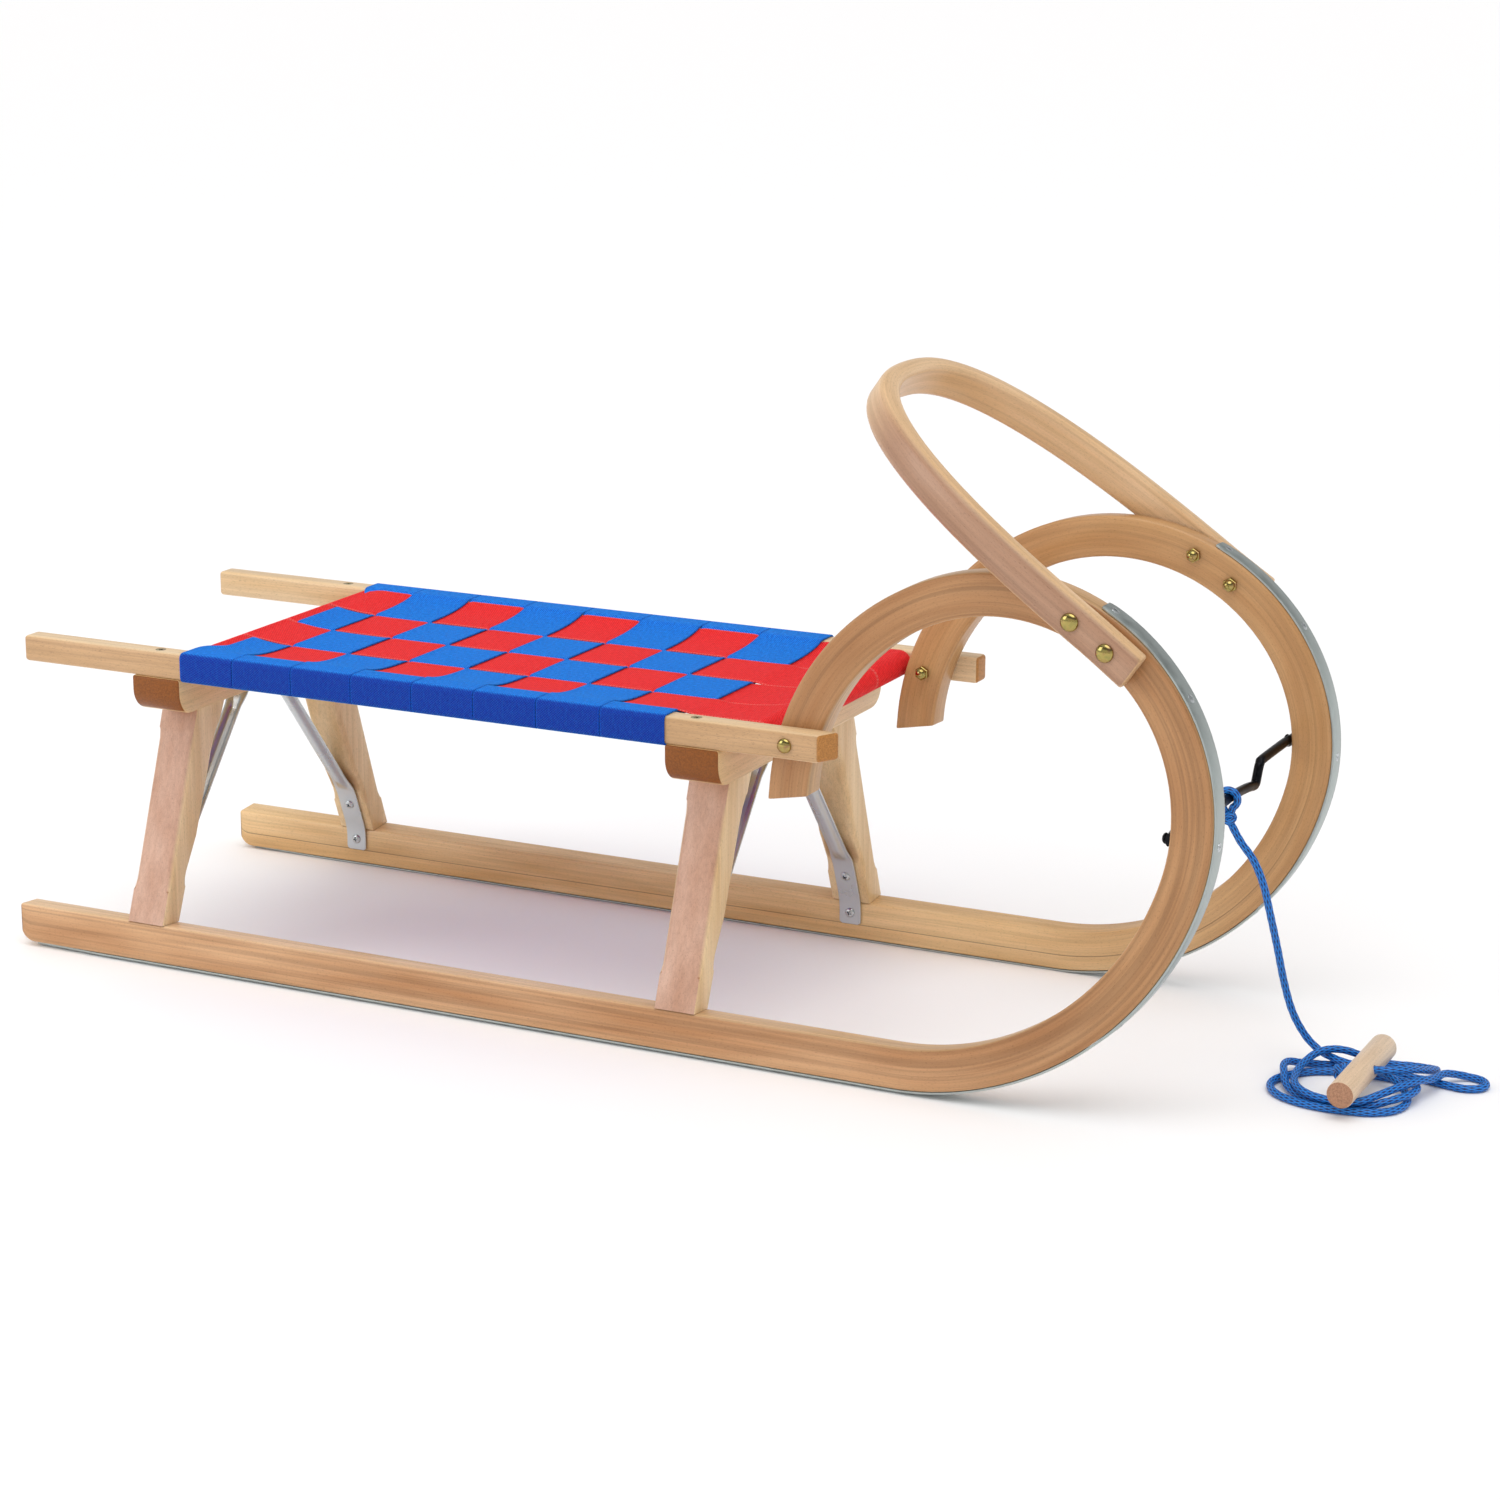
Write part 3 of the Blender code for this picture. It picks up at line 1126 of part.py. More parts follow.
def rope_routes():
    """The hanging stretch and the loops on the floor, which ends in the handle's hole."""
    ball = knot_ball()
    first = Vector(on_floor(ROPE_HANG[0]))
    start = ball + (first - ball).normalized() * (KNOT_BALL / 2 + GAP)
    meeting = Vector(on_floor(ROPE_MEETING))
    hang = [start] + [Vector(on_floor(p)) for p in ROPE_HANG] + [meeting]
    middle = Vector(on_floor(HANDLE_MIDDLE))
    _, through = handle_axis()
    out = middle + through * (HANDLE_DIAMETER / 2 + 0.001)
    back = middle - through * (HANDLE_DIAMETER / 2)
    floor = [meeting] + [Vector(on_floor(p)) for p in ROPE_FLOOR] + [out, middle, back]
    direction = (floor[1] - hang[-2]).normalized()
    ends = [meeting - direction * share for share in (0.003, GAP / 2, -GAP / 2, -0.003)]
    hang_line = smooth_route(hang, 0.0095, after=floor[1])[:-1] + ends[:2]
    floor_line = ends[2:] + smooth_route(floor, 0.0130, before=hang[-2])[1:]
    return hang_line, floor_line


def least_gap(points, diameter):
    """Smallest clear distance of a rope to itself, measured on points."""
    fine = np.array([p for a, b in zip(points, points[1:]) for p in (a, a.lerp(b, 1 / 3), a.lerp(b, 2 / 3))])
    run = np.r_[0, np.cumsum(np.linalg.norm(np.diff(fine, axis=0), axis=1))]
    apart = np.linalg.norm(fine[:, None] - fine[None], axis=2)
    apart[np.abs(run[:, None] - run[None]) < 4 * diameter] = 9.0
    return apart.min() - diameter, run[-1]


def rope():
    """The rope's two stretches, the handle and the stopper knot."""
    hang, floor = rope_routes()
    add_part("rope_free", tube_mesh("rope_free", hang, ROPE_DIAMETER, 2), BLUE_ROPE, 50)
    add_part("rope_coil", tube_mesh("rope_coil", floor, ROPE_DIAMETER, 1), BLUE_ROPE, 50)
    gap, length = least_gap(floor, ROPE_DIAMETER)
    print("rope on the floor: least gap to itself %.2f mm, length %.3f m" % (gap * 1000, length))
    print("rope that hangs: length %.3f m" % least_gap(hang, ROPE_DIAMETER)[1])
    middle = Vector(on_floor(HANDLE_MIDDLE))
    along, through = handle_axis()
    grip = add_part("pull_handle", rod("pull_handle", middle, along, HANDLE_DIAMETER, HANDLE_LENGTH, 24),
                    BEECH_PALE, 35)
    bevel(grip, 0.0012, 1)
    cut(grip, rod("handle_hole", middle, through, HANDLE_HOLE + HOLE_CLEARANCE, 2 * HANDLE_DIAMETER, 12))
    ball = bmesh.new()
    reach = HANDLE_DIAMETER / 2 + GAP + STOPPER_KNOT / 2
    bmesh.ops.create_uvsphere(ball, u_segments=12, v_segments=8, radius=STOPPER_KNOT / 2,
                              matrix=Matrix.Translation(middle - through * reach))
    add_part("rope_stopper_knot", mesh_from(ball, "rope_stopper_knot"), BLUE_ROPE, 50)


SIDES = {1: "left", -1: "right"}

for hand in SIDES:
    runner(hand)
    shoe(hand)
    rail(hand)
    bow_fasteners(hand)
    tip_fasteners(hand)
    for end, leg_place in (("rear", REAR_LEG_X), ("front", FRONT_LEG_X)):
        tag = "%s_%s" % (end, SIDES[hand])
        leg("leg_" + tag, hand, leg_place)
        brace("brace_" + tag, hand, leg_place)
        brace_screw("brace_screw_" + tag, hand, leg_place)
        beam_place = leg_place + BEAM_LEG_OFFSET
        screw_place, screw_outline = rail_screw_shape(hand, beam_place)
        turned("rail_screw_" + tag, screw_outline, screw_place, 12, GALVANISED)

beam("rear_beam", REAR_LEG_X, REAR_BEAM_X)
beam("front_beam", FRONT_LEG_X, FRONT_BEAM_X)
seat_bar("seat_bar_rear", REAR_BAR_X)
seat_bar("seat_bar_front", FRONT_BAR_X)
for strap in range(CROSS_STRAPS):
    cross_strap(strap)
for strap in range(LONG_STRAPS):
    long_strap(strap)
handle_bow()
rope_bar()
rope_knot()
rope()

# The sled stands on its shoes, with the middle of its length at x = 0
shoe_front = max(part.data.vertices[i].co.x for part in parts.objects if part.name == "runner_shoe_left"
                 for i in range(len(part.data.vertices)))
sled.location = (-(shoe_front + RAIL_REAR) / 2, 0, -FLOOR)
bpy.context.view_layer.update()
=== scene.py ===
"""The horn sled dressed for the photograph: wood, webbing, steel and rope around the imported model.

Lengths are in metres. Sled measures run from the rear end of the runners, up from the underside
of the wood and sideways from the middle. settle() moves a finished piece into the model's frame.
"""

import math

import bmesh
import bpy
import numpy as np
from mathutils import Matrix, Vector


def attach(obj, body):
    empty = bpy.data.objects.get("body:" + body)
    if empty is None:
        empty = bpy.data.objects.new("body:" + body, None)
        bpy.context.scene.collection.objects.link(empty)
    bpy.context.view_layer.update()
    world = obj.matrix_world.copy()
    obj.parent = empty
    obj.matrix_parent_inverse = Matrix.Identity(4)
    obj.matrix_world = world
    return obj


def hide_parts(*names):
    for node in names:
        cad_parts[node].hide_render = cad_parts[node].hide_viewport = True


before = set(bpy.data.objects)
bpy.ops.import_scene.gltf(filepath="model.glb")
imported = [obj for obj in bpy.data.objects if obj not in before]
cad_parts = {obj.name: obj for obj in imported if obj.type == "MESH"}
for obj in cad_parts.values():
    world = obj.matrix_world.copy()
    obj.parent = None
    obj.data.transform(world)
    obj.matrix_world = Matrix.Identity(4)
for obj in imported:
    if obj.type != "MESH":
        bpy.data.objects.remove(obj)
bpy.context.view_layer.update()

# Camera: where it stands, how it is turned, and its lens, all worked out from the photo
CAMERA_PLACE = (1.4379, -2.7639, 1.0397)
CAMERA_TURN = math.radians(26.07)
CAMERA_RISE = math.radians(14.89)
CAMERA_ROLL = math.radians(0.25)
CAMERA_LENS = 86.32

# The sled's place in the model's frame, its sides, the floor, and the air between pieces
SHIFT = Vector((-0.573198, 0.0, 0.0023))
SIDES = {1: "left", -1: "right"}
FLOOR = -0.0023
GAP = 0.0003

# Runners and the horns that they end in, each bend a radius and the degrees that it turns through
RUNNER_HEIGHT = 0.036
RUNNER_THICKNESS = 0.0264
RUNNER_STRAIGHT = 0.8834
RUNNER_HEEL = 0.012
RUNNER_OUTER = 0.194
RUNNER_EDGE = 0.0028
RUNNER_END_EDGE = 0.0012
RUNNER_SLOPE = 0.087
HORN_BENDS = ((0.2647, 75.1), (0.1890, 60.7), (0.1914, 69.2), (0.2201, 60.5))
HORN_TAIL = 0.0133
HORN_TAIL_INNER = 0.0036
HORN_LEAN = 0.0481
HORN_LEAN_LENGTH = 0.7550
HORN_THINNING = 0.13
HORN_THINNING_LENGTH = 0.16
HORN_THINNING_STOP = 0.10
HORN_TOP_SLOPE = {1: -0.050, -1: 0.0}
HORN_LEVELLING = 0.45

# Steel shoes, up to where the horn has turned by SHOE_TURN, and their screws' places along the sole
SHOE_WIDTH = 0.0235
SHOE_THICKNESS = 0.002
SHOE_END_WIDTH = 0.72
SHOE_END_ROUND = 0.006
SHOE_REAR = 0.014
SHOE_TURN = 153.9
SHOE_SCREWS = (0.045, 0.330, 0.620, 0.905, 1.095, 1.270, 1.390, 1.482)

# Legs, rounded between stops, with how far in their inner face is at each height, and beams
LEG_XS = {"rear": 0.1402, "front": 0.6829}
LEG_WIDTH = 0.0384
LEG_DEPTH = 0.036
LEG_SPLAY = 0.349
LEG_INNER = ((0.0, 0.0), (0.044, 0.0176), (0.074, 0.0356), (0.150, 0.0646), (0.193, 0.0856))
LEG_FOOT = 0.0363
LEG_TOP = 0.2298
LEG_EDGE = 0.0060
LEG_SHARP_EDGE = 0.0012
LEG_LOW_STOP = 0.030
LEG_LOW_STOP_LENGTH = 0.009
LEG_HIGH_STOP = 0.172
LEG_HIGH_STOP_LENGTH = 0.011
BEAM_OFFSET = 0.0030
BEAM_WIDTH = 0.0508
BEAM_HEIGHT = 0.034
BEAM_BOTTOM = 0.2301
BEAM_NOSE = 0.021
BEAM_EDGE = 0.0022

# Braces: the places, out and up, where a strut bends, and its section
BRACE_LINE = ((0.1663, 0.0145, 0), (0.1663, 0.0358, 0), (0.1489, 0.0795, 0), (0.0270, 0.2288, 0),
              (0.0050, 0.2288, 0))
BRACE_BEND = 0.010
BRACE_PACE = 0.0015
BRACE_HALF_WIDTH = 0.0108
BRACE_NARROWING = 0.0020
BRACE_END_ROUND = 0.003
BRACE_BEAD = 0.0042
BRACE_THICKNESS = 0.0019
BRACE_EDGE = 0.0004

# Seat rails and the bars between them
RAIL_BOTTOM = 0.2644
RAIL_TOP = 0.2883
RAIL_INNER = 0.1470
RAIL_OUTER = 0.1682
RAIL_REAR = -0.0014
RAIL_FRONT = 0.8116
RAIL_EDGE = 0.0034
RAIL_END_LONGER = 0.0025
RAIL_END_SLANT = {1: 0.0, -1: 0.0115}
BAR_XS = {"rear": 0.1765, "front": 0.7380}
BAR_DIAMETER = 0.020
BAR_EDGE = 0.0006
BAR_Z = 0.27655

# Webbing: straps across the seat, woven with straps along it
STRAP_THICKNESS = 0.0015
STRAP_EDGE = 0.0005
STRAP_FLAT_HALF = 0.033
STRAP_END = 0.016
RIB_PITCH = 0.0022
WARP_PITCH = 0.0026
STITCH_PITCH = 0.0030
SEAT_REAR = 0.1651
CROSS_COUNT = 8
CROSS_PITCH = 0.062075
CROSS_WIDTH = 0.0616
LONG_COUNT = 4
LONG_PITCH = 0.0714
LONG_WIDTH = 0.0690
LONG_MIDDLES = [((LONG_COUNT - 1) / 2 - k) * LONG_PITCH for k in range(LONG_COUNT)]
SEAT_FRONT = SEAT_REAR + CROSS_COUNT * CROSS_PITCH
SEAT_LEVEL = 0.28881
SEAT_SAG = 0.0085
WEAVE = 0.0010
WEAVE_CROSSING = 0.0055
STRAP_SPREAD = 0.0011
STRAP_SPREAD_TO_RAIL = 0.0048
FIRST_STRAP_REAR = 0.1715
FIRST_STRAP_GATHER = 0.0150
GATHER_LENGTH = 0.035

# Hoop handle, in its own tilted plane, with its bolts' places up the arms
BOW_TILT = math.radians(34.9)
BOW_BASE = (1.2742, 0.2305)
BOW_WIDTH = 0.032
BOW_THICKNESS = 0.018
BOW_START = 0.2447
BOW_BEND = 0.2870
BOW_TOP = 0.5865
BOW_SQUARENESS = 2.48
BOW_STANDOFF = 0.0006
BOW_INNER_EDGE = 0.0045
BOW_OUTER_EDGE = 0.0080
BOW_END_EDGE = 0.0022
BOW_UNTWIST = 0.06
BOW_BOLTS = {"lower": 0.2711, "upper": 0.3086}

# Fastenings: the head radius, head height, shank radius and shank length of each kind, and places
BOW_BOLT = (0.00765, 0.0044, 0.003, 0.006)
TIP_BOLT = (0.0064, 0.0040, 0.0025, 0.006)
BRACE_SCREW = (0.0047, 0.0024, 0.0020, 0.014)
ROPE_BAR_SCREW = (0.0046, 0.0030, 0.0024, 0.012)
BRACE_SCREW_SPOTS = {"upper": (0.15630, 0.065), "lower": (0.1676, 0.0255), "top": (0.0145, BEAM_BOTTOM)}
NUT_ACROSS = 0.0112
NUT_HEIGHT = 0.0095
TIP_BOLT_X = 0.7729
TIP_NUT_Y = 0.1192
RAIL_SEAT_DEPTH = 0.0004
RAIL_SCREW_DEPTH = 0.0003
BRACE_HEAD_LIFT = 0.0022
BEND_HEAD_LIFT = 0.0022

# Rope bar, whose right end sits a little lower, rope, whose route is measured up from the floor, handle
ROPE_BAR_X = 1.1020
ROPE_BAR_EYE_X = 1.1047
ROPE_BAR_EYE_Y = 0.1440
ROPE_BAR_SCREW_SPOT = (1.1029, 0.1545)
ROPE_BAR_Z = 0.2460
ROPE_BAR_LOW_Z = 0.2235
ROPE_BAR_CRANK = 0.080
ROPE_BAR_DROP = 0.0090
ROPE_BAR_RADIUS = 0.0041
ROPE_KNOT = Vector((1.1010, 0.0040, 0.2133))
ROPE_LOOP = Vector((1.1010, 0.0040, 0.2300))
ROPE_RADIUS = 0.0031
KNOT_ROPE_RADIUS = 0.0030
BRAID_LAY = 0.0105
BRAID_STRANDS = 16
HANDLE_MIDDLE = Vector((1.2365, -0.0310, 0.0255 + FLOOR))
HANDLE_DIAMETER = 0.023
HANDLE_LENGTH = 0.120
HANDLE_TURN = math.radians(89.5)
HANDLE_RISE = math.radians(1.9)
HOLE_RISE = math.radians(12.0)
ROPE_HANG = (
    (1.1130, 0.0046, 0.1960), (1.1240, 0.0072, 0.1805), (1.1325, 0.0098, 0.1600),
    (1.1382, 0.0138, 0.1340), (1.1438, 0.0196, 0.1040), (1.1490, 0.0263, 0.0720),
    (1.1560, 0.0313, 0.0450), (1.1665, 0.0350, 0.0250), (1.1780, 0.0360, 0.0140))
ROPE_FLOOR = (
    (1.1900, 0.0310, 0.0108), (1.2040, 0.0240, 0.0103), (1.2200, 0.0180, 0.0108),
    (1.2360, 0.0130, 0.0114), (1.2510, 0.0050, 0.0105), (1.2640, -0.0070, 0.0075),
    (1.2735, -0.0220, 0.0042), (1.2750, -0.0390, 0.0034), (1.2690, -0.0545, 0.0034),
    (1.2550, -0.0655, 0.0034), (1.2370, -0.0705, 0.0034), (1.2190, -0.0720, 0.0034),
    (1.2000, -0.0700, 0.0034), (1.1810, -0.0630, 0.0034), (1.1670, -0.0510, 0.0034),
    (1.1600, -0.0340, 0.0034), (1.1630, -0.0170, 0.0034), (1.1730, -0.0020, 0.0034),
    (1.1860, 0.0100, 0.0034), (1.2030, 0.0170, 0.0034), (1.2250, 0.0210, 0.0034),
    (1.2450, 0.0210, 0.0034), (1.2610, 0.0150, 0.0045), (1.2720, 0.0020, 0.0080),
    (1.2785, -0.0130, 0.0106), (1.2775, -0.0290, 0.0108), (1.2700, -0.0425, 0.0102),
    (1.2600, -0.0510, 0.0078), (1.2490, -0.0570, 0.0042), (1.2360, -0.0605, 0.0034),
    (1.2180, -0.0620, 0.0034), (1.2000, -0.0590, 0.0034), (1.1840, -0.0490, 0.0042),
    (1.1735, -0.0360, 0.0064), (1.1670, -0.0210, 0.0098), (1.1620, -0.0060, 0.0106),
    (1.1620, 0.0080, 0.0090), (1.1700, 0.0200, 0.0052), (1.1820, 0.0280, 0.0034),
    (1.1980, 0.0320, 0.0034), (1.2160, 0.0340, 0.0034), (1.2360, 0.0340, 0.0034),
    (1.2560, 0.0320, 0.0034), (1.2760, 0.0300, 0.0034), (1.2930, 0.0260, 0.0034),
    (1.3080, 0.0245, 0.0034), (1.3195, 0.0300, 0.0034), (1.3225, 0.0405, 0.0034),
    (1.3165, 0.0505, 0.0034), (1.3050, 0.0530, 0.0038), (1.2950, 0.0460, 0.0068),
    (1.2890, 0.0340, 0.0104), (1.2865, 0.0200, 0.0118), (1.2845, 0.0050, 0.0142),
    (1.2805, -0.0090, 0.0170), (1.2745, -0.0230, 0.0176), (1.2665, -0.0370, 0.0166),
    (1.2570, -0.0500, 0.0140), (1.2470, -0.0605, 0.0108), (1.2360, -0.0655, 0.0094),
    (1.2190, -0.0675, 0.0094), (1.2030, -0.0645, 0.0102), (1.1900, -0.0545, 0.0108),
    (1.1820, -0.0405, 0.0108), (1.1780, -0.0250, 0.0106), (1.1760, -0.0090, 0.0108),
    (1.1770, 0.0060, 0.0124), (1.1820, 0.0190, 0.0160), (1.1910, 0.0290, 0.0178),
    (1.2030, 0.0360, 0.0164), (1.2160, 0.0425, 0.0112), (1.2280, 0.0490, 0.0064),
    (1.2400, 0.0550, 0.0038), (1.2530, 0.0590, 0.0034), (1.2660, 0.0585, 0.0038),
    (1.2760, 0.0520, 0.0060), (1.2795, 0.0410, 0.0096), (1.2785, 0.0280, 0.0138),
    (1.2770, 0.0140, 0.0182), (1.2750, 0.0000, 0.0226), (1.2715, -0.0125, 0.0262),
    (1.2660, -0.0230, 0.0284), (1.2580, -0.0292, 0.0286))


# Camera, floor and light

def set_camera():
    """A long lens from the front right, a little above the sled."""
    turn, rise, roll = CAMERA_TURN, CAMERA_RISE, CAMERA_ROLL
    back = Vector((math.sin(turn) * math.cos(rise), -math.cos(turn) * math.cos(rise), math.sin(rise)))
    right = Vector((0, 0, 1)).cross(back).normalized()
    up = back.cross(right)
    across = right * math.cos(roll) + up * math.sin(roll)
    upward = up * math.cos(roll) - right * math.sin(roll)
    view = bpy.data.cameras.new("camera")
    view.lens, view.sensor_width, view.sensor_fit = CAMERA_LENS, 36.0, "HORIZONTAL"
    camera = bpy.data.objects.new("camera", view)
    bpy.context.scene.collection.objects.link(camera)
    turned = Matrix((across, upward, back)).transposed().to_4x4()
    camera.matrix_world = Matrix.Translation(CAMERA_PLACE) @ turned
    bpy.context.scene.camera = camera


def add_light(name, kind, place, power):
    """A lamp that faces the sled."""
    lamp = bpy.data.lights.new(name, kind)
    lamp.energy = power
    holder = bpy.data.objects.new(name, lamp)
    bpy.context.scene.collection.objects.link(holder)
    turned = Vector(place).to_track_quat("Z", "Y").to_matrix().to_4x4()
    holder.matrix_world = Matrix.Translation(place) @ turned
    return lamp


def light_studio():
    """A broad overhead light in a white room, whose walls look darker in anything shiny."""
    overhead = add_light("overhead", "SUN", (0.5, -0.9, 3.2), 1.15)
    overhead.angle = math.radians(50)
    box = add_light("soft_box", "AREA", (-2.2, -2.2, 1.6), 22)
    box.size = 1.6
    room = bpy.data.worlds.new("studio")
    bpy.context.scene.world = room
    room.use_nodes = True
    tree = room.node_tree
    height = add(tree, "SeparateXYZ", add(tree, "TexCoord", out="Generated"), out="Z")
    walls = add(tree, "ValToRGB", height, stops=((0.30, 0.9), (0.42, 0.25), (0.60, 0.25), (0.75, 0.9)))
    shiny = add(tree, "LightPath", out="Is Glossy Ray")
    backdrop = tree.nodes["Background"]
    seen = add(tree, "Mix", shiny, linear("#FFFFFF"), walls, data_type="RGBA")
    tree.links.new(seen, backdrop.inputs["Color"])
    backdrop.inputs["Strength"].default_value = 0.76
    bpy.context.scene.view_settings.view_transform = "Standard"


# Colours and nodes

def linear(code):
    """An sRGB hex colour as the linear colour that a shader takes."""
    parts = [int(code[i:i + 2], 16) / 255 for i in (1, 3, 5)]
    return [c / 12.92 if c <= 0.04045 else ((c + 0.055) / 1.055) ** 2.4 for c in parts] + [1.0]


def add(tree, kind, *values, out="", stops=(), **settings):
    """A node with its settings, a link or a plain value for each input in turn, and its colour stops."""
    made = tree.nodes.new("ShaderNode" + kind)
    for name, value in settings.items():
        setattr(made, name, value)
    for socket, value in zip([s for s in made.inputs if s.enabled], values):
        if isinstance(value, bpy.types.NodeSocket):
            tree.links.new(value, socket)
        else:
            socket.default_value = value
    for number, (place, colour) in enumerate(stops):
        if number > 1:
            made.color_ramp.elements.new(place)
        element = made.color_ramp.elements[number]
        element.position = place
        element.color = linear(colour) if isinstance(colour, str) else [colour] * 3 + [1.0]
    return next(s for s in made.outputs if s.enabled and out in ("", s.name))


def begin(name, roughness, metallic=0.0):
    """A new material with its node tree and its shader."""
    made = bpy.data.materials.new(name)
    made.use_nodes = True
    shader = made.node_tree.nodes["Principled BSDF"]
    shader.inputs["Roughness"].default_value = roughness
    shader.inputs["Metallic"].default_value = metallic
    return made, made.node_tree, shader


# Modelling helpers

def ease(value):
    """A smooth step from 0 to 1."""
    value = min(max(value, 0.0), 1.0)
    return value * value * (3 - 2 * value)


def start_fresh():
    """Object mode with nothing selected."""
    if bpy.context.object and bpy.context.object.mode != "OBJECT":
        bpy.ops.object.mode_set(mode="OBJECT")
    bpy.ops.object.select_all(action="DESELECT")


def named(name):
    """The object just made, under its own name and with its place in its mesh."""
    made = bpy.context.object
    made.name = made.data.name = name
    bpy.ops.object.transform_apply(location=True, rotation=True, scale=True)
    return made


def pick(thing, chosen, kind="FACE"):
    """Edit mode, with only what chosen() says selected."""
    start_fresh()
    thing.select_set(True)
    bpy.context.view_layer.objects.active = thing
    mesh = thing.data
    for items in (mesh.vertices, mesh.edges, mesh.polygons):
        items.foreach_set("select", [False] * len(items))
    items = {"VERT": mesh.vertices, "EDGE": mesh.edges, "FACE": mesh.polygons}[kind]
    items.foreach_set("select", [bool(chosen(item)) for item in items])
    bpy.context.tool_settings.mesh_select_mode = (kind == "VERT", kind == "EDGE", kind == "FACE")
    bpy.ops.object.mode_set(mode="EDIT")


def done():
    """Back to object mode with all faces pointing out."""
    bpy.ops.mesh.select_all(action="SELECT")
    bpy.ops.mesh.normals_make_consistent(inside=False)
    bpy.ops.object.mode_set(mode="OBJECT")


def apply_all(thing):
    """Applies every modifier in turn."""
    start_fresh()
    thing.select_set(True)
    bpy.context.view_layer.objects.active = thing
    for tool in list(thing.modifiers):
        bpy.ops.object.modifier_apply(modifier=tool.name)


def shape(thing, move):
    """Moves every vertex to where move(x, y, z) says."""
    for vert in thing.data.vertices:
        vert.co = move(*vert.co)


def round_edges(thing, width, segments, angle=40):
    """Rounds the edges that are sharper than an angle."""
    tool = thing.modifiers.new("edges", "BEVEL")
    tool.width, tool.segments, tool.limit_method = width, segments, "ANGLE"
    tool.angle_limit = math.radians(angle)
    apply_all(thing)


def settle(thing, finish, slot, *nodes, smooth=40):
    """A finished piece in the model's frame, on the sled's body, in its finish."""
    start_fresh()
    thing.select_set(True)
    bpy.context.view_layer.objects.active = thing
    bpy.ops.object.mode_set(mode="EDIT")
    done()
    bpy.ops.object.shade_smooth_by_angle(angle=math.radians(smooth))
    thing.data.transform(Matrix.Translation(SHIFT))
    thing.data.materials.clear()
    thing.data.materials.append(finish)
    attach(thing, "root")
    if nodes:
        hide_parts(*nodes)
    return thing


def cut_with(thing, cutter):
    """Takes another mesh out of a piece."""
    tool = thing.modifiers.new("cut", "BOOLEAN")
    tool.operation, tool.solver, tool.object = "DIFFERENCE", "EXACT", cutter
    apply_all(thing)
    bpy.data.objects.remove(cutter, do_unlink=True)


def sweep(name, stations, across, up, above, below, segments):
    """A section with upper and lower corners rounded, extruded through stations of (x, z, heading)."""
    start_fresh()
    x, z, heading = stations[0]
    bpy.ops.mesh.primitive_plane_add(size=1, location=(x, 0, z), rotation=(0, math.pi / 2 - heading, 0))
    bpy.context.object.scale = (up, across, 1)
    made = named(name)
    upward = Vector((-math.sin(heading), 0, math.cos(heading)))
    for radius, sign in ((above, 1), (below, -1)):
        corners = [sign * (v.co - Vector((x, 0, z))).dot(upward) > 0
                   and abs(abs(v.co.y) - across / 2) < 1e-6 for v in made.data.vertices]
        pick(made, lambda v: corners[v.index], "VERT")
        bpy.ops.mesh.bevel(offset=radius, segments=segments, affect="VERTICES")
        bpy.ops.object.mode_set(mode="OBJECT")
    pick(made, lambda face: True)
    for x1, z1, heading1 in stations[1:]:
        bpy.ops.mesh.extrude_region_move(TRANSFORM_OT_translate={"value": (x1 - x, 0, z1 - z)})
        if abs(heading1 - heading) > 1e-6:
            bpy.ops.transform.rotate(value=heading1 - heading, orient_axis="Y",
                                     center_override=(x1, 0, z1))
        x, z, heading = x1, z1, heading1
    done()
    return made


def turned(name, profile, steps=48):
    """A turned piece about Z: circles of (radius, height), each extruded from the last."""
    start_fresh()
    radius, height = profile[0]
    bpy.ops.mesh.primitive_circle_add(vertices=steps, radius=radius, fill_type="NGON",
                                      location=(0, 0, height))
    made = named(name)
    pick(made, lambda face: True)
    for radius1, height1 in profile[1:]:
        bpy.ops.mesh.extrude_region_move(TRANSFORM_OT_translate={"value": (0, 0, height1 - height)})
        share = radius1 / radius
        if abs(share - 1) > 1e-9:
            bpy.ops.transform.resize(value=(share, share, 1), center_override=(0, 0, height1))
        radius, height = radius1, height1
    done()
    return made


def stand(thing, point, axis, roll=0.0):
    """Turns a piece's +Z along an axis and moves it to a point."""
    turn = Vector((0, 0, 1)).rotation_difference(Vector(axis)).to_matrix().to_4x4()
    thing.data.transform(Matrix.Translation(Vector(point)) @ turn @ Matrix.Rotation(roll, 4, "Z"))
    return thing


def twin(thing, name):
    """A copy with a mesh of its own."""
    made = thing.copy()
    made.data = thing.data.copy()
    made.name = made.data.name = name
    bpy.context.scene.collection.objects.link(made)
    return made


def surface(name, rows, thickness, edge):
    """A strip of sheet through rows of points, with a UV map in metres, made thick."""
    start_fresh()
    long, wide = len(rows), len(rows[0])
    bpy.ops.mesh.primitive_grid_add(x_subdivisions=wide - 1, y_subdivisions=long - 1, size=2)
    made = named(name)
    points = [point for row in rows for point in row]
    for vert, point in zip(made.data.vertices, points):
        vert.co = point
    middle = [Vector(row[wide // 2]) for row in rows]
    run = [0.0]
    for a, b in zip(middle, middle[1:]):
        run.append(run[-1] + (b - a).length)
    row = rows[long // 2]
    aside = [0.0]
    for a, b in zip(row, row[1:]):
        aside.append(aside[-1] + (Vector(b) - Vector(a)).length)
    layer = made.data.uv_layers[0].data
    for loop in made.data.loops:
        layer[loop.index].uv = (run[loop.vertex_index // wide], aside[loop.vertex_index % wide])
    tool = made.modifiers.new("sheet", "SOLIDIFY")
    tool.thickness, tool.offset = thickness, 0
    apply_all(made)
    round_edges(made, edge, 2, 60)
    return made


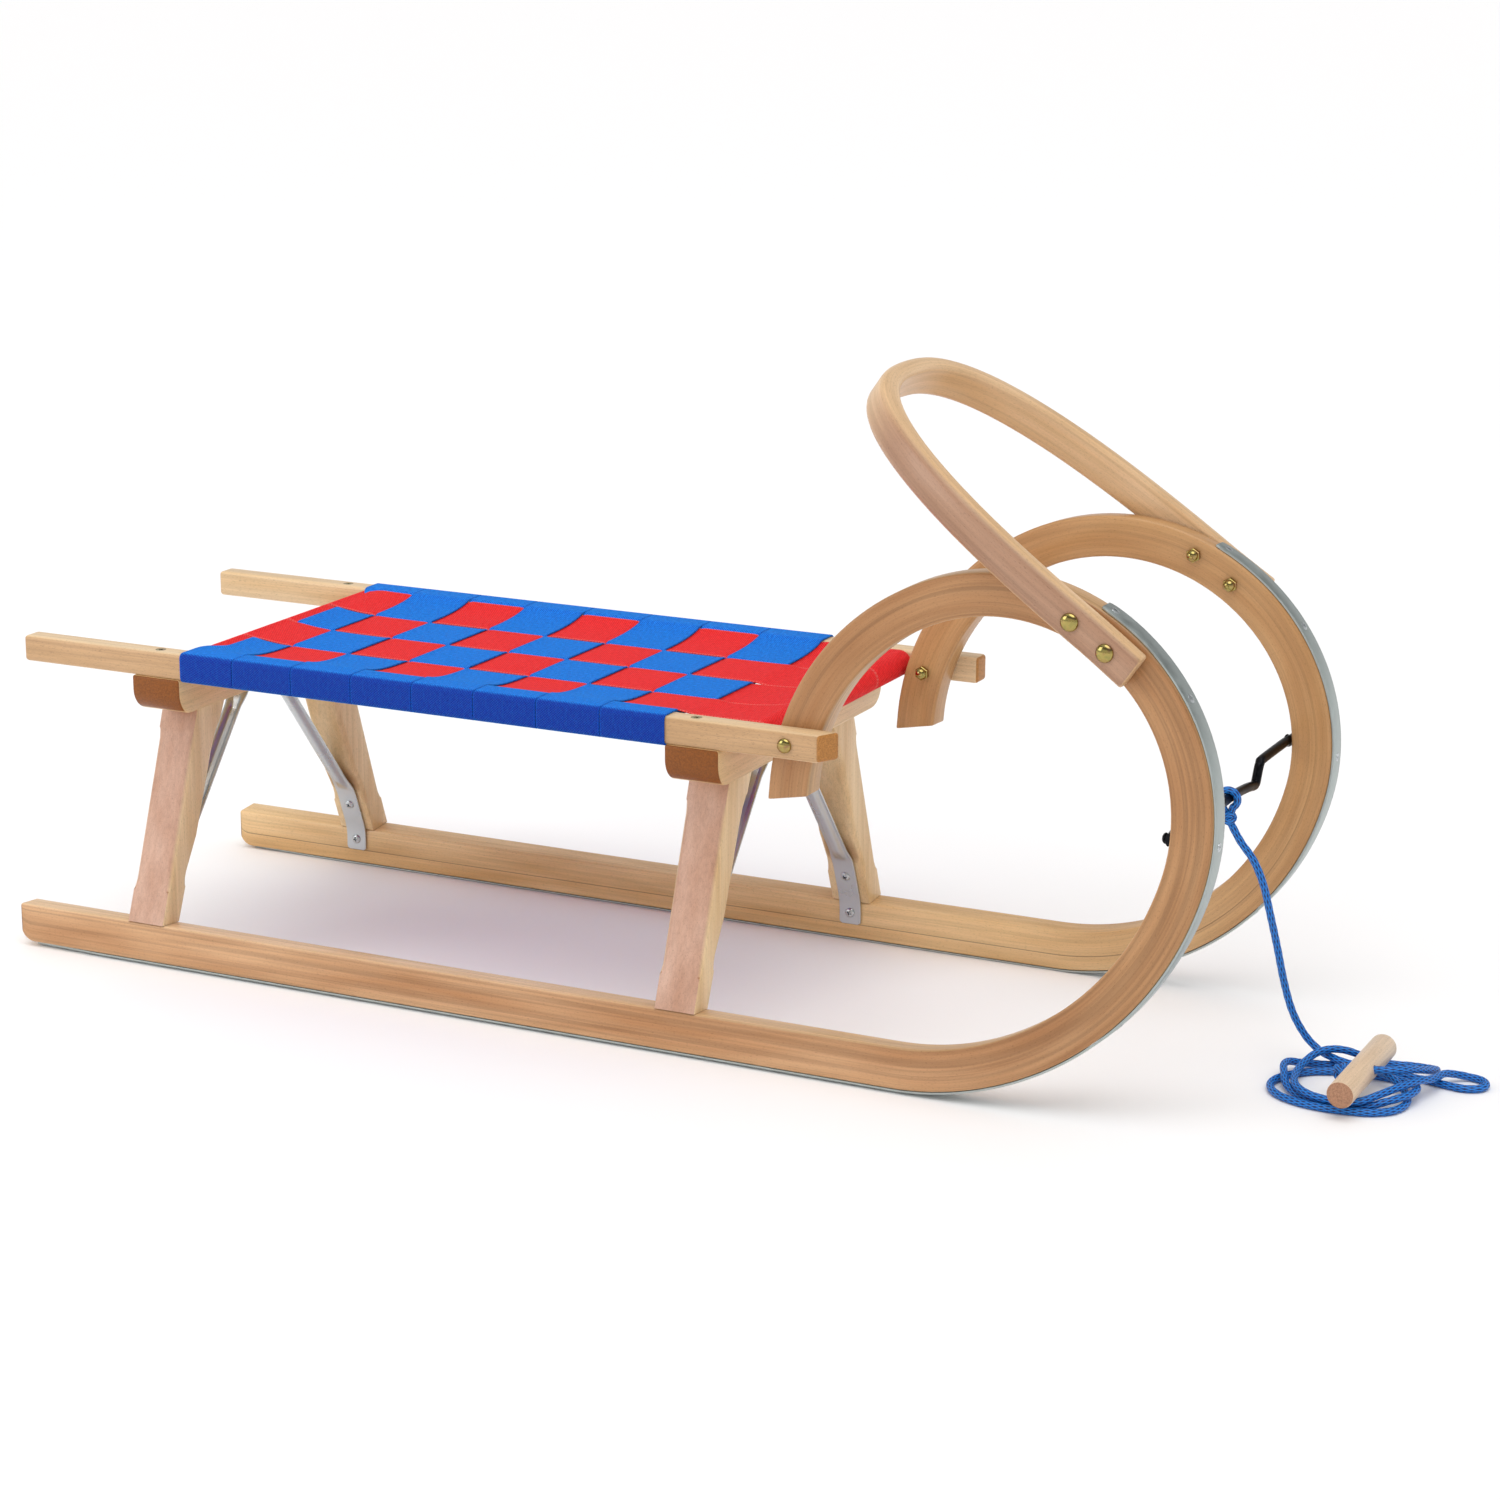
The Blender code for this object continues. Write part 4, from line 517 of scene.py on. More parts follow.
def rounded_line(points, radius, pace):
    """A line through points with its corners rounded, read at about a pace."""
    points = [Vector(p) for p in points]
    line = [points[0]]
    for a, b, c in zip(points, points[1:], points[2:]):
        before, after = (a - b).normalized(), (c - b).normalized()
        reach = min(radius, (a - b).length * 0.45, (c - b).length * 0.45)
        first, last = b + before * reach, b + after * reach
        for k in range(9):
            t = k / 8
            line.append(first.lerp(b, t).lerp(b.lerp(last, t), t))
    line.append(points[-1])
    return resample(line, pace)


def resample(line, pace):
    """Points at even distances along a line, about a pace apart."""
    co = np.array(line, float)
    run = np.r_[0, np.cumsum(np.linalg.norm(np.diff(co, axis=0), axis=1))]
    at = np.linspace(0, run[-1], max(2, round(run[-1] / pace) + 1))
    return [Vector(p) for p in np.stack([np.interp(at, run, co[:, i]) for i in range(co.shape[1])], 1)]


def spline(points, pace):
    """A smooth curve through points, read at about a pace."""
    route = [Vector(p) for p in points]
    ends = [2 * route[0] - route[1]] + route + [2 * route[-1] - route[-2]]
    found = []
    for a, b, c, d in zip(ends, ends[1:], ends[2:], ends[3:]):
        count = max(1, round((c - b).length / pace))
        for t in (k / count for k in range(count)):
            found.append(0.5 * (2 * b + (c - a) * t + (2 * a - 5 * b + 4 * c - d) * t * t
                                + (3 * b - a - 3 * c + d) * t ** 3))
    return found + [route[-1]]


def tube(name, line, radius, sides, ring=None):
    """A closed tube along a line, its UV map in metres along and turns round, ring() its relief."""
    frames = []
    along = (line[1] - line[0]).normalized()
    side = along.orthogonal().normalized()
    run = 0.0
    for i, point in enumerate(line):
        ahead = (line[min(i + 1, len(line) - 1)] - line[max(i - 1, 0)]).normalized()
        side = (side - ahead * side.dot(ahead)).normalized()
        run += (point - line[i - 1]).length if i else 0.0
        frames.append((point, side.copy(), ahead.cross(side), run))
    bm = bmesh.new()
    layer = bm.loops.layers.uv.new("UVMap")
    rows = []
    for point, side, other, run in frames:
        row = []
        for k in range(sides):
            turn = 2 * math.pi * k / sides
            size = radius * (ring(run, k / sides) if ring else 1.0)
            row.append(bm.verts.new(point + (side * math.cos(turn) + other * math.sin(turn)) * size))
        rows.append(row)
    for i in range(len(rows) - 1):
        for k in range(sides):
            j = (k + 1) % sides
            face = bm.faces.new((rows[i][k], rows[i][j], rows[i + 1][j], rows[i + 1][k]))
            for loop, (r, s) in zip(face.loops, ((i, k), (i, k + 1), (i + 1, k + 1), (i + 1, k))):
                loop[layer].uv = (frames[r][3], s / sides)
    bm.faces.new(reversed(rows[0]))
    bm.faces.new(rows[-1])
    mesh = bpy.data.meshes.new(name)
    bm.to_mesh(mesh)
    bm.free()
    made = bpy.data.objects.new(name, mesh)
    bpy.context.scene.collection.objects.link(made)
    return made


# The runner's line

def horn_stations(height):
    """Stations (x, z, heading) along a runner at a height off its sole."""
    stops = [0.0, 0.0008, 0.0025, 0.005, 0.0085, RUNNER_HEEL] + [
        RUNNER_HEEL + (RUNNER_STRAIGHT - RUNNER_HEEL) * k / 12 for k in range(1, 13)]
    found = [(x, height, 0.0) for x in stops]
    x, z, heading = RUNNER_STRAIGHT, 0.0, 0.0
    for radius, degrees in HORN_BENDS:
        cx, cz = x - radius * math.sin(heading), z + radius * math.cos(heading)
        count = round(degrees / 2.0)
        start = heading
        for k in range(1, count + 1):
            heading = start + math.radians(degrees) * k / count
            inside = radius - height
            found.append((cx + inside * math.sin(heading), cz - inside * math.cos(heading), heading))
        x, z = cx + radius * math.sin(heading), cz - radius * math.cos(heading)
    x, z, _ = found[-1]
    found.append((x + HORN_TAIL * math.cos(heading), z + HORN_TAIL * math.sin(heading), heading))
    return found


SOLE = horn_stations(0.0)
SOLE_RUN = np.r_[0, np.cumsum(np.linalg.norm(np.diff([s[:2] for s in SOLE], axis=0), axis=1))]
FINE_RUN = np.linspace(0, SOLE_RUN[-1], 3000)
FINE = np.stack([np.interp(FINE_RUN, SOLE_RUN, [s[i] for s in SOLE]) for i in range(3)], 1)


def along_runner(x, z):
    """The length along the sole and the height off it of a side-view point."""
    off = RUNNER_HEIGHT / 2
    lines = FINE[:, :2] + np.stack([-np.sin(FINE[:, 2]), np.cos(FINE[:, 2])], 1) * off
    best = int(np.argmin((lines[:, 0] - x) ** 2 + (lines[:, 1] - z) ** 2))
    turn = FINE[best, 2]
    height = (z - FINE[best, 1]) * math.cos(turn) - (x - FINE[best, 0]) * math.sin(turn)
    return FINE_RUN[best], height


def lean(run):
    """How far inwards the horn leans at a length along the sole."""
    return HORN_LEAN * ease((run - RUNNER_STRAIGHT) / HORN_LEAN_LENGTH)


def horn_face(x, z):
    """How far out the horn's outer face is near a side-view point."""
    run, _ = along_runner(x, z)
    return RUNNER_OUTER - lean(max(run, RUNNER_STRAIGHT)) - RUNNER_THICKNESS / 2 * thinning(run)


def run_at_turn(degrees):
    """The length along the sole where the runner has turned through an angle."""
    return float(np.interp(math.radians(degrees), FINE[:, 2] + FINE_RUN * 1e-9, FINE_RUN))


def keep_grain(thing, places):
    """Notes each vertex's place in its board: metres along the grain, across it and through it."""
    thing.data.attributes.new("grain", "FLOAT_VECTOR", "POINT")
    thing.data.attributes["grain"].data.foreach_set("vector", [c for place in places for c in place])


def thinning(run):
    """The share of its thickness that the horn has lost at a length along the sole."""
    begun = ease((run - RUNNER_STRAIGHT) / HORN_THINNING_LENGTH)
    ended = ease((SOLE_RUN[-1] - HORN_THINNING_STOP - run) / HORN_THINNING_LENGTH)
    return HORN_THINNING * (begun * ended)


def cant(run, side):
    """The slope across a runner's sole, which levels out or turns over up the horn."""
    share = ease((run - RUNNER_STRAIGHT) / HORN_LEVELLING)
    return RUNNER_SLOPE + (HORN_TOP_SLOPE[side] - RUNNER_SLOPE) * share


# Wooden pieces

def make_runner(side):
    """A runner and its horn, bent from one board and tipped a little inwards."""
    name = "runner_%s_wood" % SIDES[side]
    stations = horn_stations(RUNNER_HEIGHT / 2)
    thing = sweep(name, stations, RUNNER_THICKNESS, RUNNER_HEIGHT, RUNNER_EDGE, RUNNER_EDGE, 4)
    end = Vector((stations[-1][0], 0, stations[-1][1]))
    pick(thing, lambda face: len(face.vertices) > 4
         and (face.center.x < 1e-4 or (face.center - end).length < 1e-3))
    bpy.ops.mesh.bevel(offset=RUNNER_END_EDGE, segments=2, affect="EDGES")
    bpy.ops.object.mode_set(mode="OBJECT")
    runs = [along_runner(v.co.x, v.co.z) for v in thing.data.vertices]
    keep_grain(thing, [(run, v.co.y, height) for v, (run, height) in zip(thing.data.vertices, runs)])
    heading = stations[-1][2]
    slant = (HORN_TAIL - HORN_TAIL_INNER) / RUNNER_HEIGHT
    tail = SOLE_RUN[-1] - HORN_TAIL * 0.3
    for vert, (run, height) in zip(thing.data.vertices, runs):
        x, y, z = vert.co
        if run > tail:
            x, z = x - math.cos(heading) * slant * height, z - math.sin(heading) * slant * height
        if x < RUNNER_HEEL:
            rise = RUNNER_HEEL - math.sqrt(max(RUNNER_HEEL ** 2 - (RUNNER_HEEL - max(x, 0)) ** 2, 0))
            z = rise + z * (1 - rise / RUNNER_HEIGHT)
        out = RUNNER_OUTER - RUNNER_THICKNESS / 2 - lean(run) + y * (1 - thinning(run))
        vert.co = (x, side * out, z + cant(run, side) * (y + RUNNER_THICKNESS / 2))
    return settle(thing, BEECH_RUNNER[side], "beech_runner", "runner_" + SIDES[side])


def make_shoe(side):
    """The steel strip under a runner and up its horn, with a rounded end."""
    name = "shoe_%s_steel" % SIDES[side]
    last = run_at_turn(SHOE_TURN)
    lower = horn_stations(-GAP - SHOE_THICKNESS / 2)
    stations = [s for s, run in zip(lower, SOLE_RUN) if SHOE_REAR + 0.002 < run < last - 0.002]
    stations.insert(0, (SHOE_REAR, lower[0][1], 0.0))
    for back in (0.0015, 0.0):
        stations.append([float(np.interp(last - back, SOLE_RUN, [s[i] for s in lower])) for i in range(3)])
    thing = sweep(name, stations, SHOE_WIDTH, SHOE_THICKNESS, 0.0004, 0.0007, 2)
    for vert in thing.data.vertices:
        x, y, z = vert.co
        run, _ = along_runner(x, z)
        left = min(max(min(run - SHOE_REAR, last - run), 0) / SHOE_END_ROUND, 1)
        y *= SHOE_END_WIDTH + (1 - SHOE_END_WIDTH) * math.sqrt(max(0.0, 1 - (1 - left) ** 2))
        out = RUNNER_OUTER - RUNNER_THICKNESS / 2 - lean(run) + y * (1 - thinning(run))
        vert.co = (x, side * out, z + cant(run, side) * (y + RUNNER_THICKNESS / 2))
    return settle(thing, SHOE_STEEL, "galvanised_steel", "runner_shoe_" + SIDES[side])


def leg_faces(height):
    """How far out a leg's outer and inner faces are at a height above its foot."""
    inner = float(np.interp(height, [h for h, _ in LEG_INNER], [d for _, d in LEG_INNER]))
    return RUNNER_OUTER - LEG_SPLAY * height, RUNNER_OUTER - RUNNER_THICKNESS - inner


def make_leg(end, side):
    """A splayed leg: its edges are rounded between stops, and sharp at its ends."""
    name = "leg_%s_%s_wood" % (end, SIDES[side])
    x = LEG_XS[end]
    tall = LEG_TOP - LEG_FOOT
    heights = sorted(set([0, 0.004, 0.010, 0.02] + [0.03 + 0.0012 * k for k in range(8)]
                         + [0.044, 0.05, 0.06, 0.074, 0.095, 0.12, 0.145, 0.155]
                         + [0.160 + 0.0015 * k for k in range(9)] + [0.185, tall]))
    stations = [(x, LEG_FOOT + h, math.pi / 2) for h in heights]
    thing = sweep(name, stations, LEG_DEPTH, LEG_WIDTH, LEG_EDGE, LEG_EDGE, 4)

    def move(px, py, pz):
        """Fits a corner's rounding to its height, then leans the point with the leg's faces."""
        height = pz - LEG_FOOT
        low = min(max((height - LEG_LOW_STOP) / LEG_LOW_STOP_LENGTH, 0.0), 1.0)
        high = min(max((LEG_HIGH_STOP - height) / LEG_HIGH_STOP_LENGTH, 0.0), 1.0)
        size = LEG_SHARP_EDGE + (LEG_EDGE - LEG_SHARP_EDGE) * math.sqrt(min(low, high))
        share = size / LEG_EDGE
        cx, cy = math.copysign(LEG_WIDTH / 2, px - x), math.copysign(LEG_DEPTH / 2, py)
        dx, dy = px - x - cx, py - cy
        if abs(dx) < LEG_EDGE + 1e-6 and abs(dy) < LEG_EDGE + 1e-6:
            dx, dy = dx * share, dy * share
        outer, inner = leg_faces(height)
        y = outer + dy if cy > 0 else inner + dy
        seat = RUNNER_SLOPE * max(y - (RUNNER_OUTER - RUNNER_THICKNESS), 0) * max(0, 1 - height / 0.03)
        return (x + cx + dx, side * y, pz + seat)

    shape(thing, move)
    return settle(thing, BEECH_LEG, "beech_leg", "leg_%s_%s" % (end, SIDES[side]))


def make_beam(end):
    """A cross beam with round-nosed ends, on a pair of legs."""
    x = LEG_XS[end] + BEAM_OFFSET
    start_fresh()
    bpy.ops.mesh.primitive_cube_add(size=1, location=(x, 0, BEAM_BOTTOM + BEAM_HEIGHT / 2))
    bpy.context.object.scale = (BEAM_WIDTH, 2 * RAIL_OUTER, BEAM_HEIGHT)
    thing = named(end + "_beam_wood")
    verts = thing.data.vertices
    spots = [(verts[e.vertices[0]].co + verts[e.vertices[1]].co) / 2 for e in thing.data.edges]
    low_ends = [spot.z < BEAM_BOTTOM + 1e-4 and abs(spot.y) > RAIL_OUTER - 1e-4 for spot in spots]
    pick(thing, lambda edge: low_ends[edge.index], "EDGE")
    bpy.ops.mesh.bevel(offset=BEAM_NOSE, segments=14, affect="EDGES")
    done()
    round_edges(thing, BEAM_EDGE, 3, 50)
    return settle(thing, BEECH_BEAM, "beech_leg", end + "_beam")


def make_rail(side):
    """A seat rail: well-rounded edges, countersunk screw seats and a front end that may be sawn askew."""
    start_fresh()
    middle = Vector((RAIL_REAR + RAIL_FRONT, side * (RAIL_INNER + RAIL_OUTER), RAIL_BOTTOM + RAIL_TOP)) / 2
    bpy.ops.mesh.primitive_cube_add(size=1, location=middle)
    bpy.context.object.scale = (RAIL_FRONT - RAIL_REAR, RAIL_OUTER - RAIL_INNER, RAIL_TOP - RAIL_BOTTOM)
    thing = named("seat_rail_%s_wood" % SIDES[side])
    round_edges(thing, RAIL_EDGE, 5)
    for vert in thing.data.vertices:
        if vert.co.x > RAIL_FRONT - RAIL_EDGE - 0.0002:
            outwards = (abs(vert.co.y) - RAIL_INNER) / (RAIL_OUTER - RAIL_INNER)
            vert.co.x += RAIL_END_LONGER - RAIL_END_SLANT[side] * outwards
    for end in LEG_XS:
        profile = [(0.0021, -0.02), (0.0021, -0.0032), (0.0049, 0.0), (0.0049, 0.004)]
        cutter = turned("countersink", profile, 24)
        stand(cutter, (LEG_XS[end] + BEAM_OFFSET, middle.y, RAIL_TOP - RAIL_SEAT_DEPTH), (0, 0, 1))
        cut_with(thing, cutter)
    return settle(thing, BEECH_RAIL, "beech_pale", "seat_rail_" + SIDES[side])


def make_bar(end):
    """A round bar that carries the lengthwise straps."""
    half, radius = RAIL_INNER + BAR_EDGE, BAR_DIAMETER / 2
    profile = [(radius - BAR_EDGE, -half), (radius, BAR_EDGE - half), (radius, half - BAR_EDGE),
               (radius - BAR_EDGE, half)]
    thing = turned("seat_bar_%s_wood" % end, profile)
    stand(thing, (BAR_XS[end], 0, BAR_Z), (0, 1, 0))
    return settle(thing, BEECH_RAIL, "beech_pale", "seat_bar_" + end)


def bow_space(u, y, n):
    """A point of the hoop's tilted plane in the sled's own space."""
    x = BOW_BASE[0] - u * math.cos(BOW_TILT) + n * math.sin(BOW_TILT)
    return Vector((x, y, BOW_BASE[1] + u * math.sin(BOW_TILT) + n * math.cos(BOW_TILT)))


def bow_half_width(u):
    """How far out the hoop's outer face is, from the middle."""
    spot = bow_space(min(u, BOW_BEND), 0, 0)
    straight = horn_face(spot.x, spot.z) + BOW_STANDOFF + BOW_THICKNESS
    share = min(max((u - BOW_BEND) / (BOW_TOP - BOW_BEND), 0.0), 1.0)
    return straight * (1 - share ** BOW_SQUARENESS) ** (1 / BOW_SQUARENESS)


def bow_twist(u, n):
    """The slight twist that lays an arm flat on its horn and fades out above it."""
    fade = min(max(1 - (u - BOW_BEND) / BOW_UNTWIST, 0.0), 1.0)
    if not fade:
        return 0.0
    here, middle = bow_space(u, 0, n), bow_space(u, 0, 0)
    return (horn_face(here.x, here.z) - horn_face(middle.x, middle.z)) * fade


def bow_stations():
    """Stations (y, u, heading) along the hoop's middle, from the end of its left arm to the right one."""
    arm = [(bow_half_width(u), u) for u in (BOW_START, BOW_START + 0.014, BOW_START + 0.028, BOW_BEND)]
    wide, power = arm[-1][0], 2 / BOW_SQUARENESS
    for k in range(1, 41):
        turn = math.pi / 2 * (k / 40) ** 1.2
        arm.append((wide * math.cos(turn) ** power if k < 40 else 0.0,
                    BOW_BEND + (BOW_TOP - BOW_BEND) * math.sin(turn) ** power))
    line = resample(arm + [(-a, b) for a, b in reversed(arm[:-1])], 0.009)
    stations = []
    for i, spot in enumerate(line):
        way = line[min(i + 1, len(line) - 1)] - line[max(i - 1, 0)]
        heading = math.atan2(way[1], way[0])
        if i in (0, len(line) - 1):
            heading = math.pi / 2 if i == 0 else math.pi * 1.5
        if i > len(line) / 2 and heading < 0:
            heading += 2 * math.pi
        inwards = Vector((-math.sin(heading), math.cos(heading))) * BOW_THICKNESS / 2
        stations.append((spot[0] + inwards.x, spot[1] + inwards.y, heading))
    return stations


def make_bow():
    """The hoop handle, bent from one bar of beech, flat inside and rounded outside."""
    stations = bow_stations()
    thing = sweep("handle_bow_wood", stations, BOW_WIDTH, BOW_THICKNESS, BOW_INNER_EDGE, BOW_OUTER_EDGE, 5)
    ends = [Vector((s[0], 0, s[1])) for s in (stations[0], stations[-1])]
    pick(thing, lambda f: min((f.center - e).length for e in ends) < 0.002 and len(f.vertices) > 4)
    bpy.ops.mesh.bevel(offset=BOW_END_EDGE, segments=3, affect="EDGES")
    bpy.ops.object.mode_set(mode="OBJECT")
    centre = np.array([s[:2] for s in stations])
    run = np.r_[0, np.cumsum(np.linalg.norm(np.diff(centre, axis=0), axis=1))]
    places = []
    for vert in thing.data.vertices:
        near = int(np.argmin(np.hypot(centre[:, 0] - vert.co.x, centre[:, 1] - vert.co.z)))
        turn = stations[near][2]
        dx, dz = vert.co.x - centre[near, 0], vert.co.z - centre[near, 1]
        places.append((run[near] + dx * math.cos(turn) + dz * math.sin(turn), vert.co.y,
                       dz * math.cos(turn) - dx * math.sin(turn)))
    keep_grain(thing, places)

    def move(y, n, u):
        """Tilts the hoop's flat outline into its place and lays its arms on the horns."""
        return bow_space(u, y + math.copysign(bow_twist(u, n), y), n)

    shape(thing, move)
    return settle(thing, BEECH_BOW, "beech_runner", "handle_bow")


# Woven seat

def seat_height(x, y):
    """The seat's middle surface: it dips at once inside the rails and bars, and is flat between."""
    front, rear = BAR_XS["front"], BAR_XS["rear"]
    along = abs(x - (rear + front) / 2) / ((front - rear) / 2)
    sideways = abs(y) / RAIL_INNER
    return SEAT_LEVEL - SEAT_SAG * max(1 - along ** 12, 0) * max(1 - sideways ** 6, 0)


def over(cross, long):
    """+1 where the lengthwise strap runs over the cross strap, else -1."""
    return -1 if (cross + long) % 2 else 1


def between(x):
    """0 at a line between two cross straps, rising to 1 a little way off it."""
    away = min(abs(x - SEAT_REAR - k * CROSS_PITCH) for k in range(1, CROSS_COUNT))
    return ease(away / WEAVE_CROSSING)


def cross_rise(cross, x, y):
    """How far a cross strap stands off the seat's middle surface."""
    signs = [-over(cross, k) for k in range(LONG_COUNT)]
    edge = LONG_MIDDLES[0] + LONG_WIDTH / 2
    if abs(y) > edge:
        sign = signs[0 if y > 0 else -1] * (1 - ease((abs(y) - edge) / 0.008))
    else:
        flats = [half - middle for middle in LONG_MIDDLES for half in (-STRAP_FLAT_HALF, STRAP_FLAT_HALF)]
        sign = float(np.interp(-y, flats, [sign for sign in signs for _ in (0, 1)]))
    return WEAVE * sign * (2 - between(x))


def make_cross_strap(number):
    """A blue strap across the seat, wrapped round both rails; the rear one is gathered before the bar."""
    middle = SEAT_REAR + (number + 0.5) * CROSS_PITCH
    low, high = max(middle - CROSS_WIDTH / 2, FIRST_STRAP_REAR), middle + CROSS_WIDTH / 2
    lift = GAP + STRAP_THICKNESS / 2
    bend = RAIL_EDGE + lift
    wrap = [(RAIL_INNER + 0.004, RAIL_BOTTOM - lift)]
    for cz, start in ((RAIL_BOTTOM + RAIL_EDGE, -90), (RAIL_TOP - RAIL_EDGE, 0)):
        for turn in range(start, start + 91, 15):
            a = math.radians(turn)
            wrap.append((RAIL_OUTER - RAIL_EDGE + bend * math.cos(a), cz + bend * math.sin(a)))
    wrap.append((RAIL_INNER + RAIL_EDGE, RAIL_TOP + lift))
    flat = RAIL_INNER - 0.001
    inner = [(y, None) for y in np.arange(flat, -flat - 1e-6, -0.0028)]
    rows = []
    for y, z in wrap + inner + [(-y, z) for y, z in reversed(wrap)]:
        row = []
        gathered = 0.0 if number else FIRST_STRAP_GATHER * ease((RAIL_INNER - abs(y)) / GATHER_LENGTH)
        for k in range(15):
            x = low + gathered + (high - low - gathered) * k / 14
            height = z
            if z is None:
                edge = ease((RAIL_INNER - abs(y)) / 0.010)
                height = seat_height(x, y) + cross_rise(number, x, y)
                height = height * edge + (RAIL_TOP + lift) * (1 - edge)
            row.append((x, y, height))
        rows.append(row)
    thing = surface("cross_strap_%d_webbing" % (number + 1), rows, STRAP_THICKNESS, STRAP_EDGE)
    return settle(thing, BLUE_WEB, "webbing_blue", "cross_strap_%d" % (number + 1), smooth=60)


def make_long_strap(number):
    """A red strap along the seat, wrapped round both bars."""
    snug = BAR_DIAMETER / 2 + GAP + STRAP_THICKNESS / 2
    rear, front = BAR_XS["rear"], BAR_XS["front"]

    def round_bar(x, angles):
        """Places (x, z) on the strap's way round a bar."""
        turns = [math.radians(a) for a in angles]
        return [(x + snug * math.cos(turn), BAR_Z + snug * math.sin(turn)) for turn in turns]

    def across(x):
        """Places across the strap: it spreads a little where no cross strap holds it."""
        free = ease((x - SEAT_FRONT + 0.012) / 0.020)
        reach = [LONG_WIDTH / 2 + free * (STRAP_SPREAD_TO_RAIL if number == outermost else STRAP_SPREAD)
                 for outermost in (0, LONG_COUNT - 1)]
        return np.linspace(LONG_MIDDLES[number] + reach[0], LONG_MIDDLES[number] - reach[1], 13)

    back = round_bar(rear, range(90, 271, 10)) + [(rear + STRAP_END, BAR_Z - snug)]
    rows = [[(x, y, z) for y in across(x)] for x, z in reversed(back)]
    on_bar = BAR_Z + snug - SEAT_LEVEL
    for x in np.arange(rear + 0.002, front - 0.002, 0.0024):
        cross = min(int(max(x - SEAT_REAR, 0) / CROSS_PITCH), CROSS_COUNT - 1)
        rise = WEAVE * over(cross, number) * (between(x) if x < SEAT_FRONT - 0.005 else 1.0)
        share = ease((x - SEAT_FRONT) / 0.018)
        rise = rise * (1 - share) + on_bar * share
        share = ease((x - rear) / 0.020)
        rise = rise * share + on_bar * (1 - share)
        rows.append([(x, y, seat_height(x, y) + rise) for y in across(x)])
    rows += [[(x, y, z) for y in across(x)] for x, z in round_bar(front, range(90, -91, -10))]
    rows.append([(front - STRAP_END, y, BAR_Z - snug) for y in across(front)])
    thing = surface("long_strap_%d_webbing" % (number + 1), rows, STRAP_THICKNESS, STRAP_EDGE)
    return settle(thing, RED_WEB, "webbing_red", "long_strap_%d" % (number + 1), smooth=60)


# Steel pieces

def make_brace(end, side):
    """A pressed strut with a raised bead between flat, rounded ends."""
    name = "brace_%s_%s_steel" % (end, SIDES[side])
    x = LEG_XS[end]
    line = rounded_line(BRACE_LINE, BRACE_BEND, BRACE_PACE)
    long = BRACE_PACE * (len(line) - 1)
    rows = []
    for i, spot in enumerate(line):
        run = BRACE_PACE * i
        way = (line[min(i + 1, len(line) - 1)] - line[max(i - 1, 0)]).normalized()
        inwards = Vector((-abs(way.y), -abs(way.x)))
        left = min(run, long - run, BRACE_END_ROUND) / BRACE_END_ROUND
        half = BRACE_HALF_WIDTH - BRACE_END_ROUND * (1 - math.sqrt(1 - (1 - left) ** 2))
        waist = ease((run - 0.070) / 0.022) * ease((long - 0.030 - run) / 0.018)
        half -= BRACE_NARROWING * waist
        row = []
        for k in range(17):
            share = k / 8 - 1
            bead = BRACE_BEAD * waist * ease((0.72 - abs(share)) / 0.42)
            row.append((x + share * half, side * (spot.x + inwards.x * bead), spot.y + inwards.y * bead))
        rows.append(row)
    thing = surface(name, rows, BRACE_THICKNESS, BRACE_EDGE)
    return settle(thing, GALVANISED, "galvanised_steel", "brace_%s_%s" % (end, SIDES[side]))


def cross_head(name, head, crown, shank, deep):
    """A screw with a domed head and a cross recess, its seat at height 0."""
    profile = [(shank, -deep), (shank, 0), (head, 0), (head, crown * 0.25), (head * 0.86, crown * 0.62),
               (head * 0.6, crown * 0.88), (head * 0.25, crown), (0.0003, crown)]
    return recess(turned(name, profile, 40), crown, head)


def recess(thing, top, head):
    """The cross-shaped recess in a screw head."""
    for wide, long in ((0.20, 0.66), (0.66, 0.20)):
        start_fresh()
        bpy.ops.mesh.primitive_cube_add(size=1, location=(0, 0, top))
        bpy.context.object.scale = (head * 2 * wide, head * 2 * long, head * 1.1)
        cutter = named("cross")
        pick(cutter, lambda face: face.normal.z < -0.5)
        bpy.ops.transform.resize(value=(0.55, 0.55, 1), center_override=(0, 0, top))
        bpy.ops.object.mode_set(mode="OBJECT")
        cut_with(thing, cutter)
    return thing


